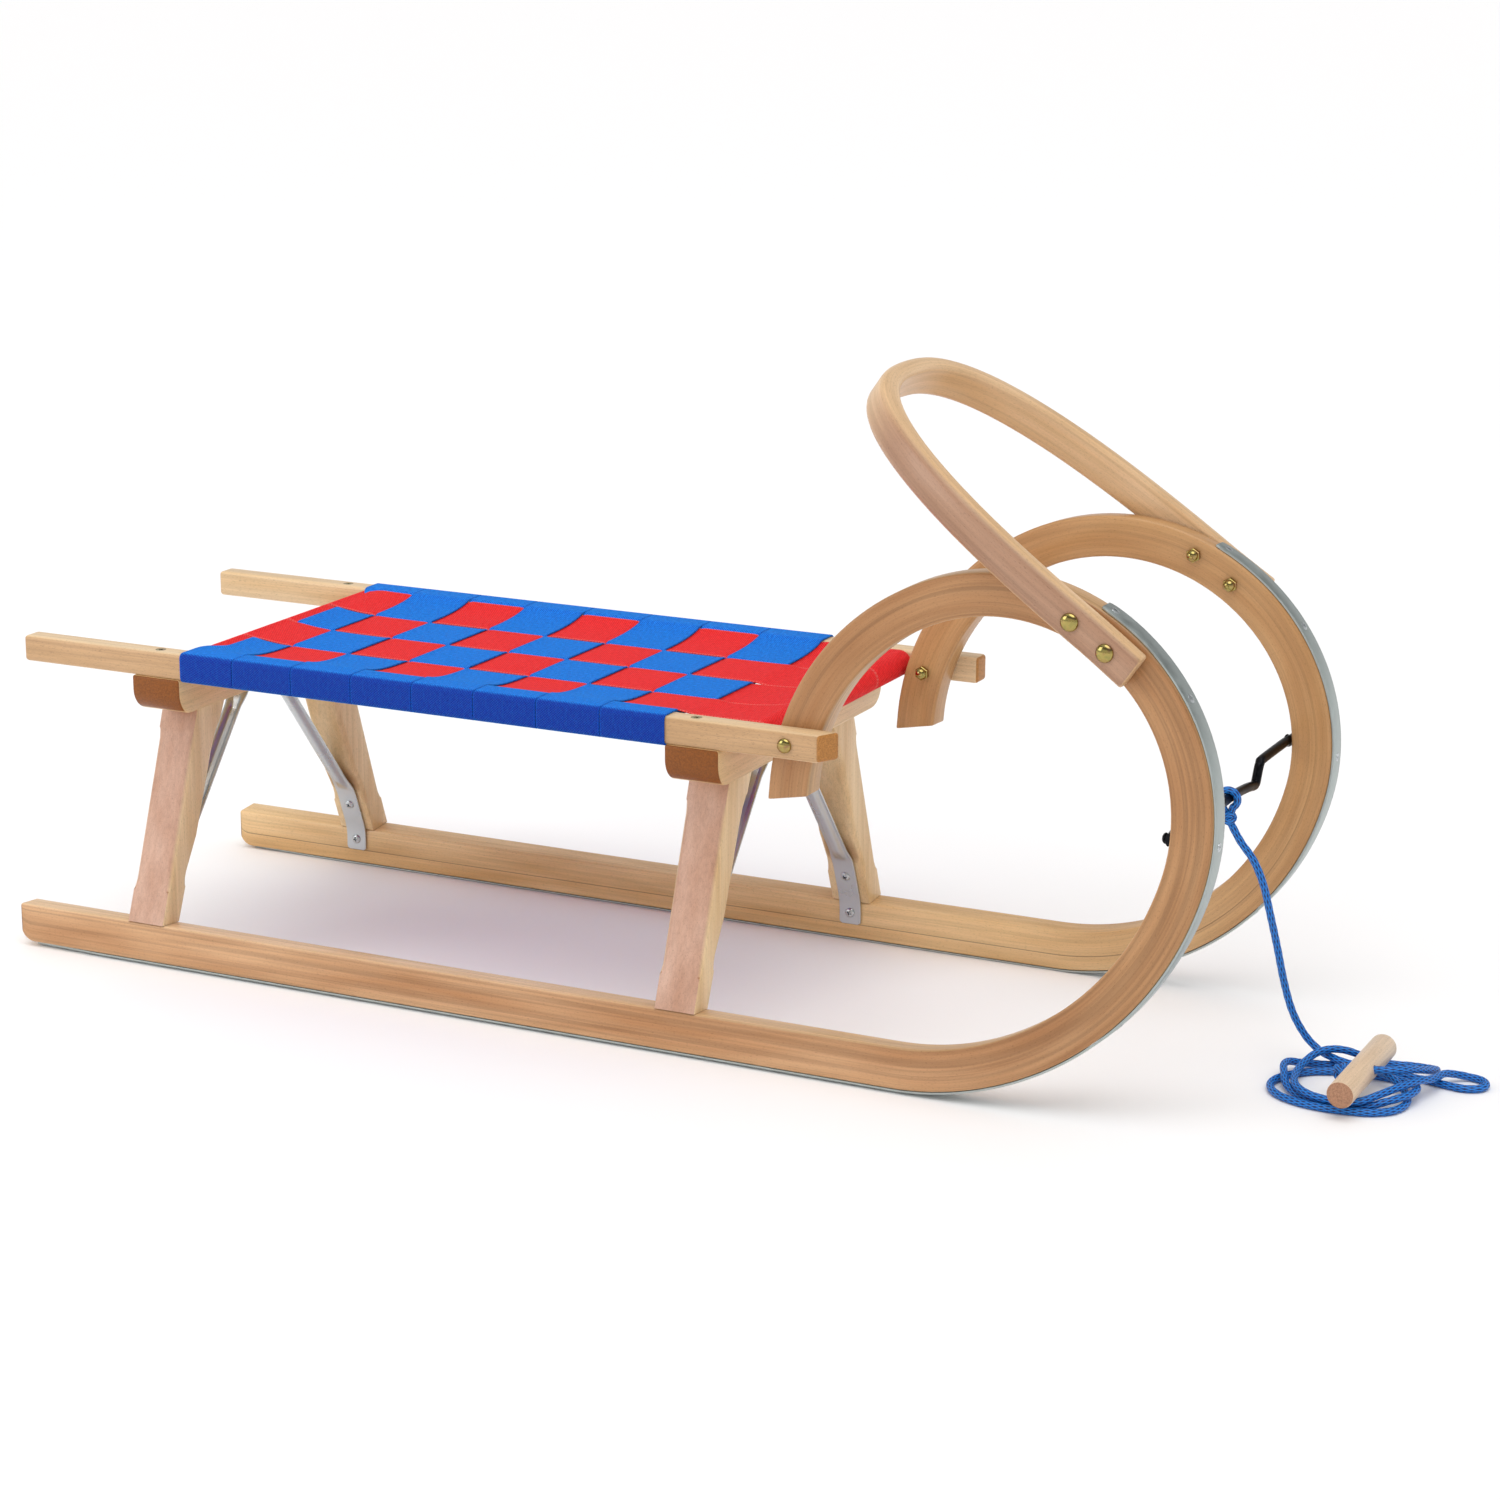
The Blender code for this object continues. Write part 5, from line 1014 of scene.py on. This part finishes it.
def place_screws():
    """Brace, rail and shoe screws, each kind modelled once and copied."""
    round_head = cross_head("round_screw", *BRACE_SCREW)
    profile = [(0.0020, -0.018), (0.0020, -0.0027), (0.0046, 0.0), (0.0046, 0.0002), (0.0003, 0.0003)]
    flat_head = recess(turned("flat_screw", profile, 40), 0.0002, 0.0046)
    profile = [(0.0015, -0.0085), (0.0015, -0.0012), (0.0038, 0.0), (0.0037, 0.0004), (0.0030, 0.0007),
               (0.0003, 0.0008)]
    small_head = recess(turned("small_screw", profile, 32), 0.0008, 0.0038)
    turn = 0.3
    for end, x in LEG_XS.items():
        for side, hand in SIDES.items():
            tag = "%s_%s" % (end, hand)
            ways = {"upper": (0, -side, -0.40), "lower": (0, -side, 0), "top": (0, 0, -1)}
            for level, (y, z) in BRACE_SCREW_SPOTS.items():
                turn += 0.7
                way = Vector(ways[level]).normalized()
                thing = twin(round_head, "brace_screw_%s_%s" % (tag, level))
                stand(thing, Vector((x, side * y, z)) + way * BRACE_HEAD_LIFT, way, turn)
                nodes = ["brace_screw_" + tag] if level == "upper" else []
                settle(thing, GALVANISED, "galvanised_steel", *nodes)
            thing = twin(flat_head, "rail_screw_%s_zinc" % tag)
            spot = (x + BEAM_OFFSET, side * (RAIL_INNER + RAIL_OUTER) / 2, RAIL_TOP - RAIL_SCREW_DEPTH)
            stand(thing, spot, (0, 0, 1), turn)
            settle(thing, YELLOW_ZINC, "galvanised_steel", "rail_screw_" + tag)
    for side, hand in SIDES.items():
        for number, run in enumerate(SHOE_SCREWS):
            turn += 0.9
            x, z, heading = [float(np.interp(run, FINE_RUN, FINE[:, i])) for i in range(3)]
            out = Vector((math.sin(heading), 0, -math.cos(heading)))
            y = RUNNER_OUTER - RUNNER_THICKNESS / 2 - lean(run)
            proud = BEND_HEAD_LIFT if run > RUNNER_STRAIGHT + 0.1 else SHOE_THICKNESS - 0.0005
            spot = Vector((x, side * y, z + cant(run, side) * RUNNER_THICKNESS / 2)) + out * proud
            thing = twin(small_head, "shoe_screw_%s_%d" % (hand, number + 1))
            stand(thing, spot, out, turn)
            settle(thing, GALVANISED, "galvanised_steel")
    for thing in (round_head, flat_head, small_head):
        bpy.data.objects.remove(thing, do_unlink=True)


def bolt(name, head, high, shank, long):
    """A domed carriage bolt with its seat at height 0."""
    dome = [(head * math.cos(math.radians(a)), high * (0.16 + 0.84 * math.sin(math.radians(a))))
            for a in (6, 16, 28, 40, 52, 64, 76, 86)]
    return turned(name, [(shank, -long), (shank, 0), (head * 0.97, 0), (head, high * 0.06)] + dome, 56)


def domed_nut(name):
    """A hexagon nut with a domed cap, its seat at height 0."""
    wide = NUT_ACROSS / 2 / math.cos(math.pi / 6)
    low, dome_wide = NUT_HEIGHT * 0.5, NUT_ACROSS * 0.46
    thing = turned(name, [(wide * 0.93, 0), (wide, 0.0005), (wide, low - 0.0005), (wide * 0.93, low)], 6)
    dome = [(dome_wide * math.cos(math.radians(a)), low + (NUT_HEIGHT - low) * math.sin(math.radians(a)))
            for a in (0, 15, 30, 45, 60, 75, 87)]
    cap = turned(name + "_cap", [(dome_wide, low - 0.001)] + dome, 40)
    start_fresh()
    cap.select_set(True)
    thing.select_set(True)
    bpy.context.view_layer.objects.active = thing
    bpy.ops.object.join()
    return thing


def bow_bolt_line(u):
    """A hoop bolt's seat on the left arm, its outward axis, and how deep its nut sits inside the horn."""
    reach = 0.006

    def face_point(du, dn):
        """A point of the arm's outer face beside the bolt."""
        return bow_space(u + du, bow_half_width(u + du) + bow_twist(u + du, dn), dn)

    seat = bow_space(u, bow_half_width(u), 0)
    along = face_point(reach, 0) - face_point(-reach, 0)
    square = face_point(0, reach) - face_point(0, -reach)
    axis = along.cross(square).normalized()
    axis = axis if axis.y > 0 else -axis
    aside = axis.orthogonal().normalized() * NUT_ACROSS / math.sqrt(3)
    deepest = 0.0
    for rim in [aside * 0] + [Matrix.Rotation(k * math.pi / 4, 3, axis) @ aside for k in range(8)]:
        depth = BOW_THICKNESS + RUNNER_THICKNESS
        for _ in range(6):
            spot = seat + rim - axis * depth
            run, _ = along_runner(spot.x, spot.z)
            depth += spot.y - horn_face(spot.x, spot.z) + RUNNER_THICKNESS * (1 - thinning(run))
        deepest = max(deepest, depth)
    return seat, axis, deepest


def place_bolts():
    """The bolts and domed nuts of the hoop and of the horn tips."""
    for side, hand in SIDES.items():
        flip = Vector((1, side, 1))
        for level, u in BOW_BOLTS.items():
            tag = "%s_%s" % (hand, level)
            seat, axis, deep = bow_bolt_line(u)
            thing = bolt("bow_bolt_%s_zinc" % tag, *BOW_BOLT)
            stand(thing, (seat + axis * GAP) * flip, axis * flip)
            settle(thing, YELLOW_ZINC, "yellow_zinc", "bow_bolt_" + tag)
            thing = domed_nut("bow_nut_%s_zinc" % tag)
            stand(thing, (seat - axis * (deep + GAP)) * flip, -axis * flip)
            settle(thing, YELLOW_ZINC, "yellow_zinc", "bow_nut_" + tag, smooth=25)
        out = Vector((0, side, 0))
        thing = bolt("tip_bolt_%s_zinc" % hand, *TIP_BOLT)
        stand(thing, (TIP_BOLT_X, side * (RAIL_OUTER + GAP), BAR_Z), out)
        settle(thing, YELLOW_ZINC, "yellow_zinc", "tip_bolt_" + hand)
        thing = domed_nut("tip_nut_%s_zinc" % hand)
        stand(thing, (TIP_BOLT_X, side * TIP_NUT_Y, BAR_Z), -out)
        settle(thing, YELLOW_ZINC, "yellow_zinc", "tip_nut_" + hand, smooth=25)


def rope_bar_line():
    """The cranked bar's middle line, from the left horn to the right one."""
    x, z, low, crank = ROPE_BAR_X, ROPE_BAR_Z, ROPE_BAR_LOW_Z, ROPE_BAR_CRANK
    half = [(ROPE_BAR_EYE_X, 0.1590, z), (ROPE_BAR_EYE_X, 0.1480, z), (1.1040, 0.1388, z),
            (x, crank + 0.008, z - 0.0022), (x - 0.0004, crank + 0.003, z - 0.0046),
            (x - 0.0007, crank, z - 0.0098), (x - 0.001, crank - 0.0025, low + 0.0060),
            (x - 0.001, crank - 0.0075, low + 0.0012)]
    half += [(x - 0.001, crank * s, low + 0.0065 * (1 - s * s)) for s in (0.7, 0.45, 0.2)]
    middle = [(x - 0.001, 0.0, low + 0.0065)]
    right = [(px, -py, pz - ROPE_BAR_DROP * ease((py - crank) / 0.06)) for px, py, pz in reversed(half)]
    return half + middle + right


def make_rope_bar():
    """The black bar between the horns, flattened into an eye at each end and screwed on."""
    thing = tube("rope_bar_steel", spline(rope_bar_line(), 0.002), ROPE_BAR_RADIUS, 28)
    for vert in thing.data.vertices:
        away = abs(vert.co.y) - ROPE_BAR_EYE_Y
        if away > 0:
            flat = ease(away / 0.006)
            x, z = ROPE_BAR_EYE_X, ROPE_BAR_Z - (ROPE_BAR_DROP if vert.co.y < 0 else 0.0)
            vert.co.x = x + (vert.co.x - x) * (1 - 0.40 * flat) + 0.0012 * flat
            vert.co.z = z + (vert.co.z - z) * (1 + 0.30 * flat)
    settle(thing, BLACK_STEEL, "black_steel", "rope_bar", smooth=50)
    for side, hand in SIDES.items():
        screw = cross_head("rope_bar_screw_%s_steel" % hand, *ROPE_BAR_SCREW)
        x, y = ROPE_BAR_SCREW_SPOT
        stand(screw, (x, side * y, ROPE_BAR_Z - (ROPE_BAR_DROP if side < 0 else 0.0)), (-1, 0, 0), 0.5)
        settle(screw, BLACK_STEEL, "black_steel", "rope_bar_screw_" + hand)


# Rope, knots and handle

def on_floor(point):
    """A rope point whose height is given above the floor."""
    return Vector((point[0], point[1], point[2] + FLOOR))


def braid(run, turn):
    """The low relief of a braid: half its strands wind each way and cross the others' backs."""
    first = math.cos(2 * math.pi * (BRAID_STRANDS / 2 * turn + run / BRAID_LAY))
    second = math.cos(2 * math.pi * (BRAID_STRANDS / 2 * turn - run / BRAID_LAY))
    return 1.0 + 0.065 * max(first, second)


def make_handle():
    """The turned pull handle with a hole across it for the rope."""
    level = math.cos(HANDLE_RISE)
    along = Vector((math.cos(HANDLE_TURN) * level, math.sin(HANDLE_TURN) * level, math.sin(HANDLE_RISE)))
    through = Vector((math.cos(HOLE_RISE), 0, math.sin(HOLE_RISE)))
    through = (through - along * through.dot(along)).normalized()
    half, radius = HANDLE_LENGTH / 2, HANDLE_DIAMETER / 2
    upper = [(radius, half - 0.0014), (radius - 0.0004, half - 0.0004), (radius - 0.0012, half)]
    thing = turned("pull_handle_wood", [(wide, -high) for wide, high in reversed(upper)] + upper, 64)
    stand(thing, HANDLE_MIDDLE, along)
    upper = [(0.0037, 0.0092), (0.0039, 0.0104), (0.0046, 0.02)]
    drill = turned("drill", [(wide, -high) for wide, high in reversed(upper)] + upper, 32)
    stand(drill, HANDLE_MIDDLE, through)
    cut_with(thing, drill)
    settle(thing, BEECH_HANDLE, "beech_pale", "pull_handle")
    return thing, through


def wound_knot(name, centre, axis, wide, tall, *nodes):
    """A small tight knot: one strand wound through itself."""
    turn = Vector((0, 0, 1)).rotation_difference(Vector(axis)).to_matrix()
    line = []
    for k in range(120):
        a = 2 * math.pi * k / 120
        reach = wide * (1 + 0.42 * math.cos(3 * a))
        spot = Vector((reach * math.cos(2 * a), reach * math.sin(2 * a), tall * math.sin(3 * a)))
        line.append(centre + turn @ spot)
    thing = tube(name, line, KNOT_ROPE_RADIUS, 14, braid)
    return settle(thing, ROPE_BRAID, "blue_rope", *nodes, smooth=80)


def make_eye():
    """The rope's loop on the bar."""
    inside = Vector((0.0006, 0.001, 0.0))
    loop = [ROPE_KNOT - inside]
    for k in range(41):
        a = math.radians(-150 + 300 * k / 40)
        off = Vector((0.0076 * math.sin(a), 0.0016 * math.sin(a / 2), 0.0078 * math.cos(a) - 0.0006))
        loop.append(ROPE_LOOP + off)
    loop.append(ROPE_KNOT + inside)
    eye = tube("rope_eye", spline(loop, 0.0012), ROPE_RADIUS, 18, braid)
    return settle(eye, ROPE_BRAID, "blue_rope", smooth=80)


def make_rope():
    """The rope: a loop on the bar, a free stretch to the floor, loose coils and the handle."""
    handle, through = make_handle()
    eye = make_eye()
    knot = wound_knot("rope_knot_tied", ROPE_KNOT, (0.2, 0.3, 1), 0.0032, 0.0030, "rope_knot")
    start = ROPE_KNOT + (on_floor(ROPE_HANG[0]) - ROPE_KNOT).normalized() * 0.0058
    out = HANDLE_MIDDLE + through * (HANDLE_DIAMETER / 2 + 0.001)
    back = HANDLE_MIDDLE - through * (HANDLE_DIAMETER / 2)
    route = [start] + [on_floor(p) for p in ROPE_HANG + ROPE_FLOOR] + [out, HANDLE_MIDDLE, back]
    line = resample(spline(route, 0.003), 0.0013)
    rope = tube("rope", line, ROPE_RADIUS, 20, braid)
    settle(rope, ROPE_BRAID, "blue_rope", "rope_free", "rope_coil", smooth=80)
    end = wound_knot("rope_stopper", back - through * 0.0062, through, 0.0034, 0.0034, "rope_stopper_knot")


# Finishes

def straight_part_painted_light(tree, body, space, tint):
    """Wood toned darker where the runner bends up, so the straight part in the shade under the seat stays
    paler: painted light.
    """
    run = add(tree, "Math", add(tree, "SeparateXYZ", space, out="X"), 0.5, operation="MULTIPLY")
    bent = add(tree, "ValToRGB", run, stops=((0.42, 0.0), (0.56, 1.0)))
    return add(tree, "Mix", bent, body, linear(tint), data_type="RGBA", blend_type="MULTIPLY")


def end_grain(tree, body, place, facing, colour):
    """Darker wood, speckled with open pores, on the faces that look along the grain."""
    cut = add(tree, "ValToRGB", facing, stops=((0.42, 0.0), (0.58, 1.0)))
    pores = add(tree, "TexNoise", place, 700.0, 3.0, 0.6)
    shade = add(tree, "ValToRGB", pores, stops=((0.35, 0.66), (0.65, 1.0)))
    end = add(tree, "Mix", 1.0, linear(colour), shade, data_type="RGBA", blend_type="MULTIPLY")
    return add(tree, "Mix", cut, body, end, data_type="RGBA")


def glue_line(tree, body, space, height):
    """A thin dark line where two layers of the board meet, which fades out up the horn."""
    off = add(tree, "Math", add(tree, "SeparateXYZ", space, out="Z"), height, operation="SUBTRACT")
    off = add(tree, "Math", add(tree, "Math", off, operation="ABSOLUTE"), 1000.0, operation="MULTIPLY")
    line = add(tree, "ValToRGB", off, stops=((0.25, 0.5), (0.6, 1.0)))
    run = add(tree, "Math", add(tree, "SeparateXYZ", space, out="X"), 0.5, operation="MULTIPLY")
    fade = add(tree, "ValToRGB", run, stops=((0.52, 1.0), (0.64, 0.15)))
    return add(tree, "Mix", fade, body, line, data_type="RGBA", blend_type="MULTIPLY")


def beech(name, axis, outer, inner, ends, lines, glue=None, horn=None):
    """Steamed beech, planed and lacquered: fine straight grain, short dark flecks and a satin skin.

    The eye reads it as warm, close-grained wood under a thin even shine, with dull, darker ends.
    The grain runs along an object axis, or along the noted grain of bent wood. Its broad figure is
    24 mm wide, its year rings 4 mm, its fibres 2 mm and its flecks 3 mm long. Faces that look
    outwards take a redder, darker tone and the others a paler one, as painted light and shade.
    lines is how strongly the year rings show, glue is a glue line's height off the sole, and horn
    is the tint that darkens the horn, so the straight part in the shade under the seat stays paler
    as painted light.
    """
    made, tree, shader = begin(name, 0.42)
    place = add(tree, "TexCoord", out="Object")
    space = place if axis is not None else add(tree, "Attribute", out="Vector", attribute_name="grain")
    fields = []
    for along, across, detail in ((5.0, 42.0, 2.0), (1.8, 250.0, 2.0), (14.0, 620.0, 3.0),
                                  (330.0, 1900.0, 1.0)):
        stretch = [along if i == (axis or 0) else across for i in range(3)]
        sized = add(tree, "VectorMath", space, stretch, operation="MULTIPLY")
        fields.append(add(tree, "TexNoise", sized, 1.0, detail, 0.58))
    figure, rings, fibre, fleck = fields
    # Outward faces take the darker, redder tone and the others the paler one: painted light and shade
    normal = add(tree, "NewGeometry", out="Normal")
    hand = add(tree, "Math", add(tree, "SeparateXYZ", place, out="Y"), operation="SIGN")
    outwards = add(tree, "Math", add(tree, "SeparateXYZ", normal, out="Y"), hand, operation="MULTIPLY")
    share = add(tree, "ValToRGB", outwards, stops=((0.45, 0.0), (0.85, 1.0)))
    painted_light_and_shade_tones = [add(tree, "ValToRGB", figure, stops=((0.30, light), (0.72, dark)))
             for light, dark in (inner, outer)]
    body = add(tree, "Mix", share, *painted_light_and_shade_tones, data_type="RGBA")
    for field, strength, stops in ((rings, lines, ((0.40, 0.45), (0.54, 1.0))),
                                   (fibre, 0.60, ((0.32, 0.80), (0.62, 1.0))),
                                   (fleck, 0.60, ((0.60, 1.0), (0.72, 0.55)))):
        marks = add(tree, "ValToRGB", field, stops=stops)
        body = add(tree, "Mix", strength, body, marks, data_type="RGBA", blend_type="MULTIPLY")
    # The horn tint keeps the straight part paler than the horn, as painted light in the seat's shade
    if horn is not None:
        body = straight_part_painted_light(tree, body, space, horn)
    if axis is not None:
        facing = add(tree, "Math", add(tree, "SeparateXYZ", normal, out="XYZ"[axis]), operation="ABSOLUTE")
        body = end_grain(tree, body, place, facing, ends)
        coat = add(tree, "ValToRGB", facing, stops=((0.42, 0.25), (0.58, 0.04)))
        tree.links.new(coat, shader.inputs["Coat Weight"])
    if glue is not None:
        body = glue_line(tree, body, space, glue)
    tree.links.new(body, shader.inputs["Base Color"])
    rough = add(tree, "ValToRGB", fibre, stops=((0.3, 0.50), (0.7, 0.38)))
    tree.links.new(rough, shader.inputs["Roughness"])
    relief = add(tree, "Math", fibre, add(tree, "Math", fleck, 0.4, operation="MULTIPLY"), operation="ADD")
    tree.links.new(add(tree, "Bump", 0.12, 0.0004, 0.1, relief), shader.inputs["Normal"])
    shader.inputs["Coat Weight"].default_value = 0.25
    shader.inputs["Specular IOR Level"].default_value = 0.3
    shader.inputs["Coat Roughness"].default_value = 0.16
    return made


def webbing(name, shade, main, light, edge, sheen, width, wrap=None):
    """Woven polypropylene webbing: fine ribs over a fine warp, with stitched edges.

    The eye reads it as a dense, slightly fuzzy cloth that glows at a glancing angle. The ribs, the
    warp and the stitches of its edges are 2.2, 2.6 and 3 mm apart. Its colour is painted darker in the
    weave's hollows and lighter on its crests, as painted shade and highlight. wrap is a deeper tone
    painted on the strap where it runs down the sides of the rails, as painted shade.
    """
    made, tree, shader = begin(name, 0.66)
    place = add(tree, "UVMap", uv_map="UVMap")
    along, aside = [add(tree, "SeparateXYZ", place, out=axis) for axis in "XY"]
    turns = [add(tree, "Math", way, 2 * math.pi / pitch, operation="MULTIPLY")
             for way, pitch in ((along, RIB_PITCH), (aside, WARP_PITCH), (along, STITCH_PITCH))]
    rib, warp, stitch = [add(tree, "Math", turn, operation="SINE") for turn in turns]
    weave = add(tree, "Math", rib, warp, operation="MULTIPLY")
    threads = add(tree, "VectorMath", place, (240.0, 420.0, 1.0), operation="MULTIPLY")
    worn = add(tree, "TexNoise", threads, 1.0, 3.0, 0.55)
    # The weave is painted darker in its hollows and lighter on its crests: painted shade and highlight
    level = add(tree, "Math", add(tree, "Math", weave, 0.45, operation="MULTIPLY"), worn, operation="ADD")
    body = add(tree, "ValToRGB", level, stops=((0.20, shade), (0.55, main), (0.85, light)))
    # The strap is painted deeper where it runs down the rails' sides: painted shade
    if wrap:
        sideways = add(tree, "SeparateXYZ", add(tree, "TexCoord", out="Object"), out="Y")
        sideways = add(tree, "Math", sideways, operation="ABSOLUTE")
        wrap_painted_shade = add(tree, "Math", sideways, RAIL_OUTER - 0.003, operation="SUBTRACT")
        wrap_painted_shade = add(tree, "Math", wrap_painted_shade, 250.0, operation="MULTIPLY")
        side = add(tree, "ValToRGB", wrap_painted_shade, stops=((0.1, 0.0), (0.8, 0.8)))
        body = add(tree, "Mix", side, body, linear(wrap), data_type="RGBA")
    off = add(tree, "Math", add(tree, "Math", aside, width / 2, operation="SUBTRACT"), operation="ABSOLUTE")
    inside = add(tree, "Math", add(tree, "Math", width / 2, off, operation="SUBTRACT"), 200.0,
                 operation="MULTIPLY")
    rim = add(tree, "ValToRGB", inside, stops=((0.2, 1.0), (0.38, 0.0)))
    stitch = add(tree, "ValToRGB", stitch, stops=((0.35, 0.35), (0.75, 1.0)))
    bound = add(tree, "Mix", 1.0, rim, stitch, data_type="RGBA", blend_type="MULTIPLY")
    body = add(tree, "Mix", bound, body, linear(edge), data_type="RGBA")
    tree.links.new(body, shader.inputs["Base Color"])
    relief = add(tree, "Math", weave, worn, operation="ADD")
    tree.links.new(add(tree, "Bump", 0.6, 0.0005, 0.1, relief), shader.inputs["Normal"])
    shader.inputs["Specular IOR Level"].default_value = 0.2
    shader.inputs["Sheen Weight"].default_value = 0.60
    shader.inputs["Sheen Roughness"].default_value = 0.35
    shader.inputs["Sheen Tint"].default_value = linear(sheen)
    return made


def braided(name, main, shade, light):
    """Braided polypropylene cord: smooth strands, painted lighter on their crests and darker between them
    in small chevrons, as painted highlight and shade.
    """
    made, tree, shader = begin(name, 0.45)
    place = add(tree, "UVMap", uv_map="UVMap")
    run, turns = [add(tree, "SeparateXYZ", place, out=axis) for axis in "XY"]
    around = add(tree, "Math", turns, BRAID_STRANDS * math.pi, operation="MULTIPLY")
    lay = add(tree, "Math", run, 2 * math.pi / BRAID_LAY, operation="MULTIPLY")
    ways = [add(tree, "Math", add(tree, "Math", around, lay, operation=way), operation="COSINE")
            for way in ("ADD", "SUBTRACT")]
    strands = add(tree, "Math", *ways, operation="MAXIMUM")
    threads = add(tree, "VectorMath", place, (900.0, 30.0, 1.0), operation="MULTIPLY")
    fuzz = add(tree, "Math", add(tree, "TexNoise", threads, 1.0, 2.0, 0.55), 0.4, operation="MULTIPLY")
    level = add(tree, "Math", add(tree, "Math", strands, 0.42, operation="MULTIPLY"), fuzz, operation="ADD")
    # Strand crests are painted lighter and the gaps darker: painted highlight and shade
    body = add(tree, "ValToRGB", level, stops=((0.05, shade), (0.40, main), (0.64, light)))
    tree.links.new(body, shader.inputs["Base Color"])
    tree.links.new(add(tree, "Bump", 0.5, 0.0006, 0.1, level), shader.inputs["Normal"])
    return made


def metal(name, colours, roughness, grain, spread):
    """Plated or lacquered steel, its colour drifting over patches of grain metres."""
    made, tree, shader = begin(name, roughness, 1.0)
    place = add(tree, "TexCoord", out="Object")
    patch = add(tree, "TexNoise", place, 1 / grain, 2.0, 0.55)
    places = np.linspace(0.5 - spread / 2, 0.5 + spread / 2, len(colours))
    body = add(tree, "ValToRGB", patch, stops=list(zip(map(float, places), colours)))
    tree.links.new(body, shader.inputs["Base Color"])
    rough = add(tree, "ValToRGB", patch, stops=((0.35, roughness - 0.06), (0.65, roughness + 0.06)))
    tree.links.new(rough, shader.inputs["Roughness"])
    fine = add(tree, "TexNoise", place, 2500.0, 2.0, 0.55)
    tree.links.new(add(tree, "Bump", 0.04, 0.0003, 0.1, fine), shader.inputs["Normal"])
    return made


# Beech: light and dark tone of the faces that look outwards, then of the others, then the end grain; the
# tones of the two kinds of face are painted light and shade
RED_BEECH, PALE_BEECH = ("#CFA384", "#B48262"), ("#EBC79D", "#D2A877")
TURNED_BEECH = ("#E6CEB2", "#DABC9C")
# The left runner's inner faces, in shade under the seat, are painted paler as painted light, and each horn
# tint darkens its horn back
BEECH_RUNNER = {
    -1: beech("beech_right_bent_lacquered", None, ("#D6A97E", "#B88457"), PALE_BEECH, "#9A6234", 0.38,
              horn="#E3D9C9"),
    1: beech("beech_left_bent_lacquered", None, RED_BEECH, ("#F0CC99", "#D3A66D"), "#9A6234", 0.18,
             0.0140, "#D9C7B8")}
BEECH_BOW = beech("beech_hoop_bent_lacquered", None, ("#BC957A", "#A57A5E"), PALE_BEECH, "#9A6234", 0.2)
BEECH_LEG = beech("beech_leg_planed_lacquered", 2, ("#D0A892", "#BA8C72"), ("#F2D6AA", "#DAB480"),
                  "#9A6234", 0.1)
BEECH_BEAM = beech("beech_beam_planed_lacquered", 1, RED_BEECH, ("#F0CF9C", "#DAB27C"), "#8E5018", 0.15)
BEECH_RAIL = beech("beech_rail_planed_lacquered", 0, ("#CEA67C", "#BC9468"), ("#EDD0A8", "#DCB888"),
                   "#C08444", 0.2)
BEECH_HANDLE = beech("beech_handle_turned_lacquered", 1, TURNED_BEECH, TURNED_BEECH, "#B8886A", 0.1)

# Webbing and cord: bright, saturated plastic yarn, painted darker between its threads and lighter on them
# as painted shade and highlight
# The blue webbing's last colour is the painted shade on the rails' sides
BLUE_WEB = webbing("webbing_woven_blue", "#003EAA", "#006AE6", "#2098FF", "#0048B4", "#18B8FF",
                   CROSS_WIDTH, "#001888")
RED_WEB = webbing("webbing_woven_red", "#C8080F", "#FA0E18", "#FF3A3C", "#F06A64", "#FF5A5A", LONG_WIDTH)
ROPE_BRAID = braided("cord_braided_blue", "#005AB2", "#001A52", "#1486E0")

# Zinc on rolled strip is dull and even, and on pressed and turned steel it gives soft bright highlights
SHOE_STEEL = metal("steel_strip_rolled_galvanised", ("#A8B0AE", "#B8C0BE"), 0.46, 0.012, 0.4)
GALVANISED = metal("steel_pressed_galvanised", ("#C0C5C8", "#CCD0D2"), 0.32, 0.03, 0.6)

# Passivated zinc shines and shimmers between olive, gold and copper
YELLOW_ZINC = metal("steel_yellow_zinc_passivated", ("#8C8A54", "#AE9C5C", "#9A7458"), 0.14, 0.006, 0.5)

# Lacquer on the bar gives a near-black skin with blurred highlights
BLACK_STEEL = metal("steel_bar_black_lacquered", ("#141416", "#26262A"), 0.36, 0.006, 0.5)


# Everything in its place

def make_floor():
    """A wide pale floor, painted matt, so that it takes soft shadows and no reflections."""
    start_fresh()
    bpy.ops.mesh.primitive_plane_add(size=1, location=(0, 0, 0))
    bpy.context.object.scale = (60, 60, 1)
    thing = named("floor")
    finish, _, shader = begin("floor_painted_matt", 0.85)
    shader.inputs["Base Color"].default_value = linear("#F8F7F7")
    thing.data.materials.append(finish)


set_camera()
make_floor()
make_rope()
for side in SIDES:
    make_runner(side)
    make_shoe(side)
    make_rail(side)
    for end in LEG_XS:
        make_leg(end, side)
        make_brace(end, side)
for end in LEG_XS:
    make_beam(end)
    make_bar(end)
make_bow()
for number in range(CROSS_COUNT):
    make_cross_strap(number)
for number in range(LONG_COUNT):
    make_long_strap(number)
place_bolts()
place_screws()
make_rope_bar()

light_studio()
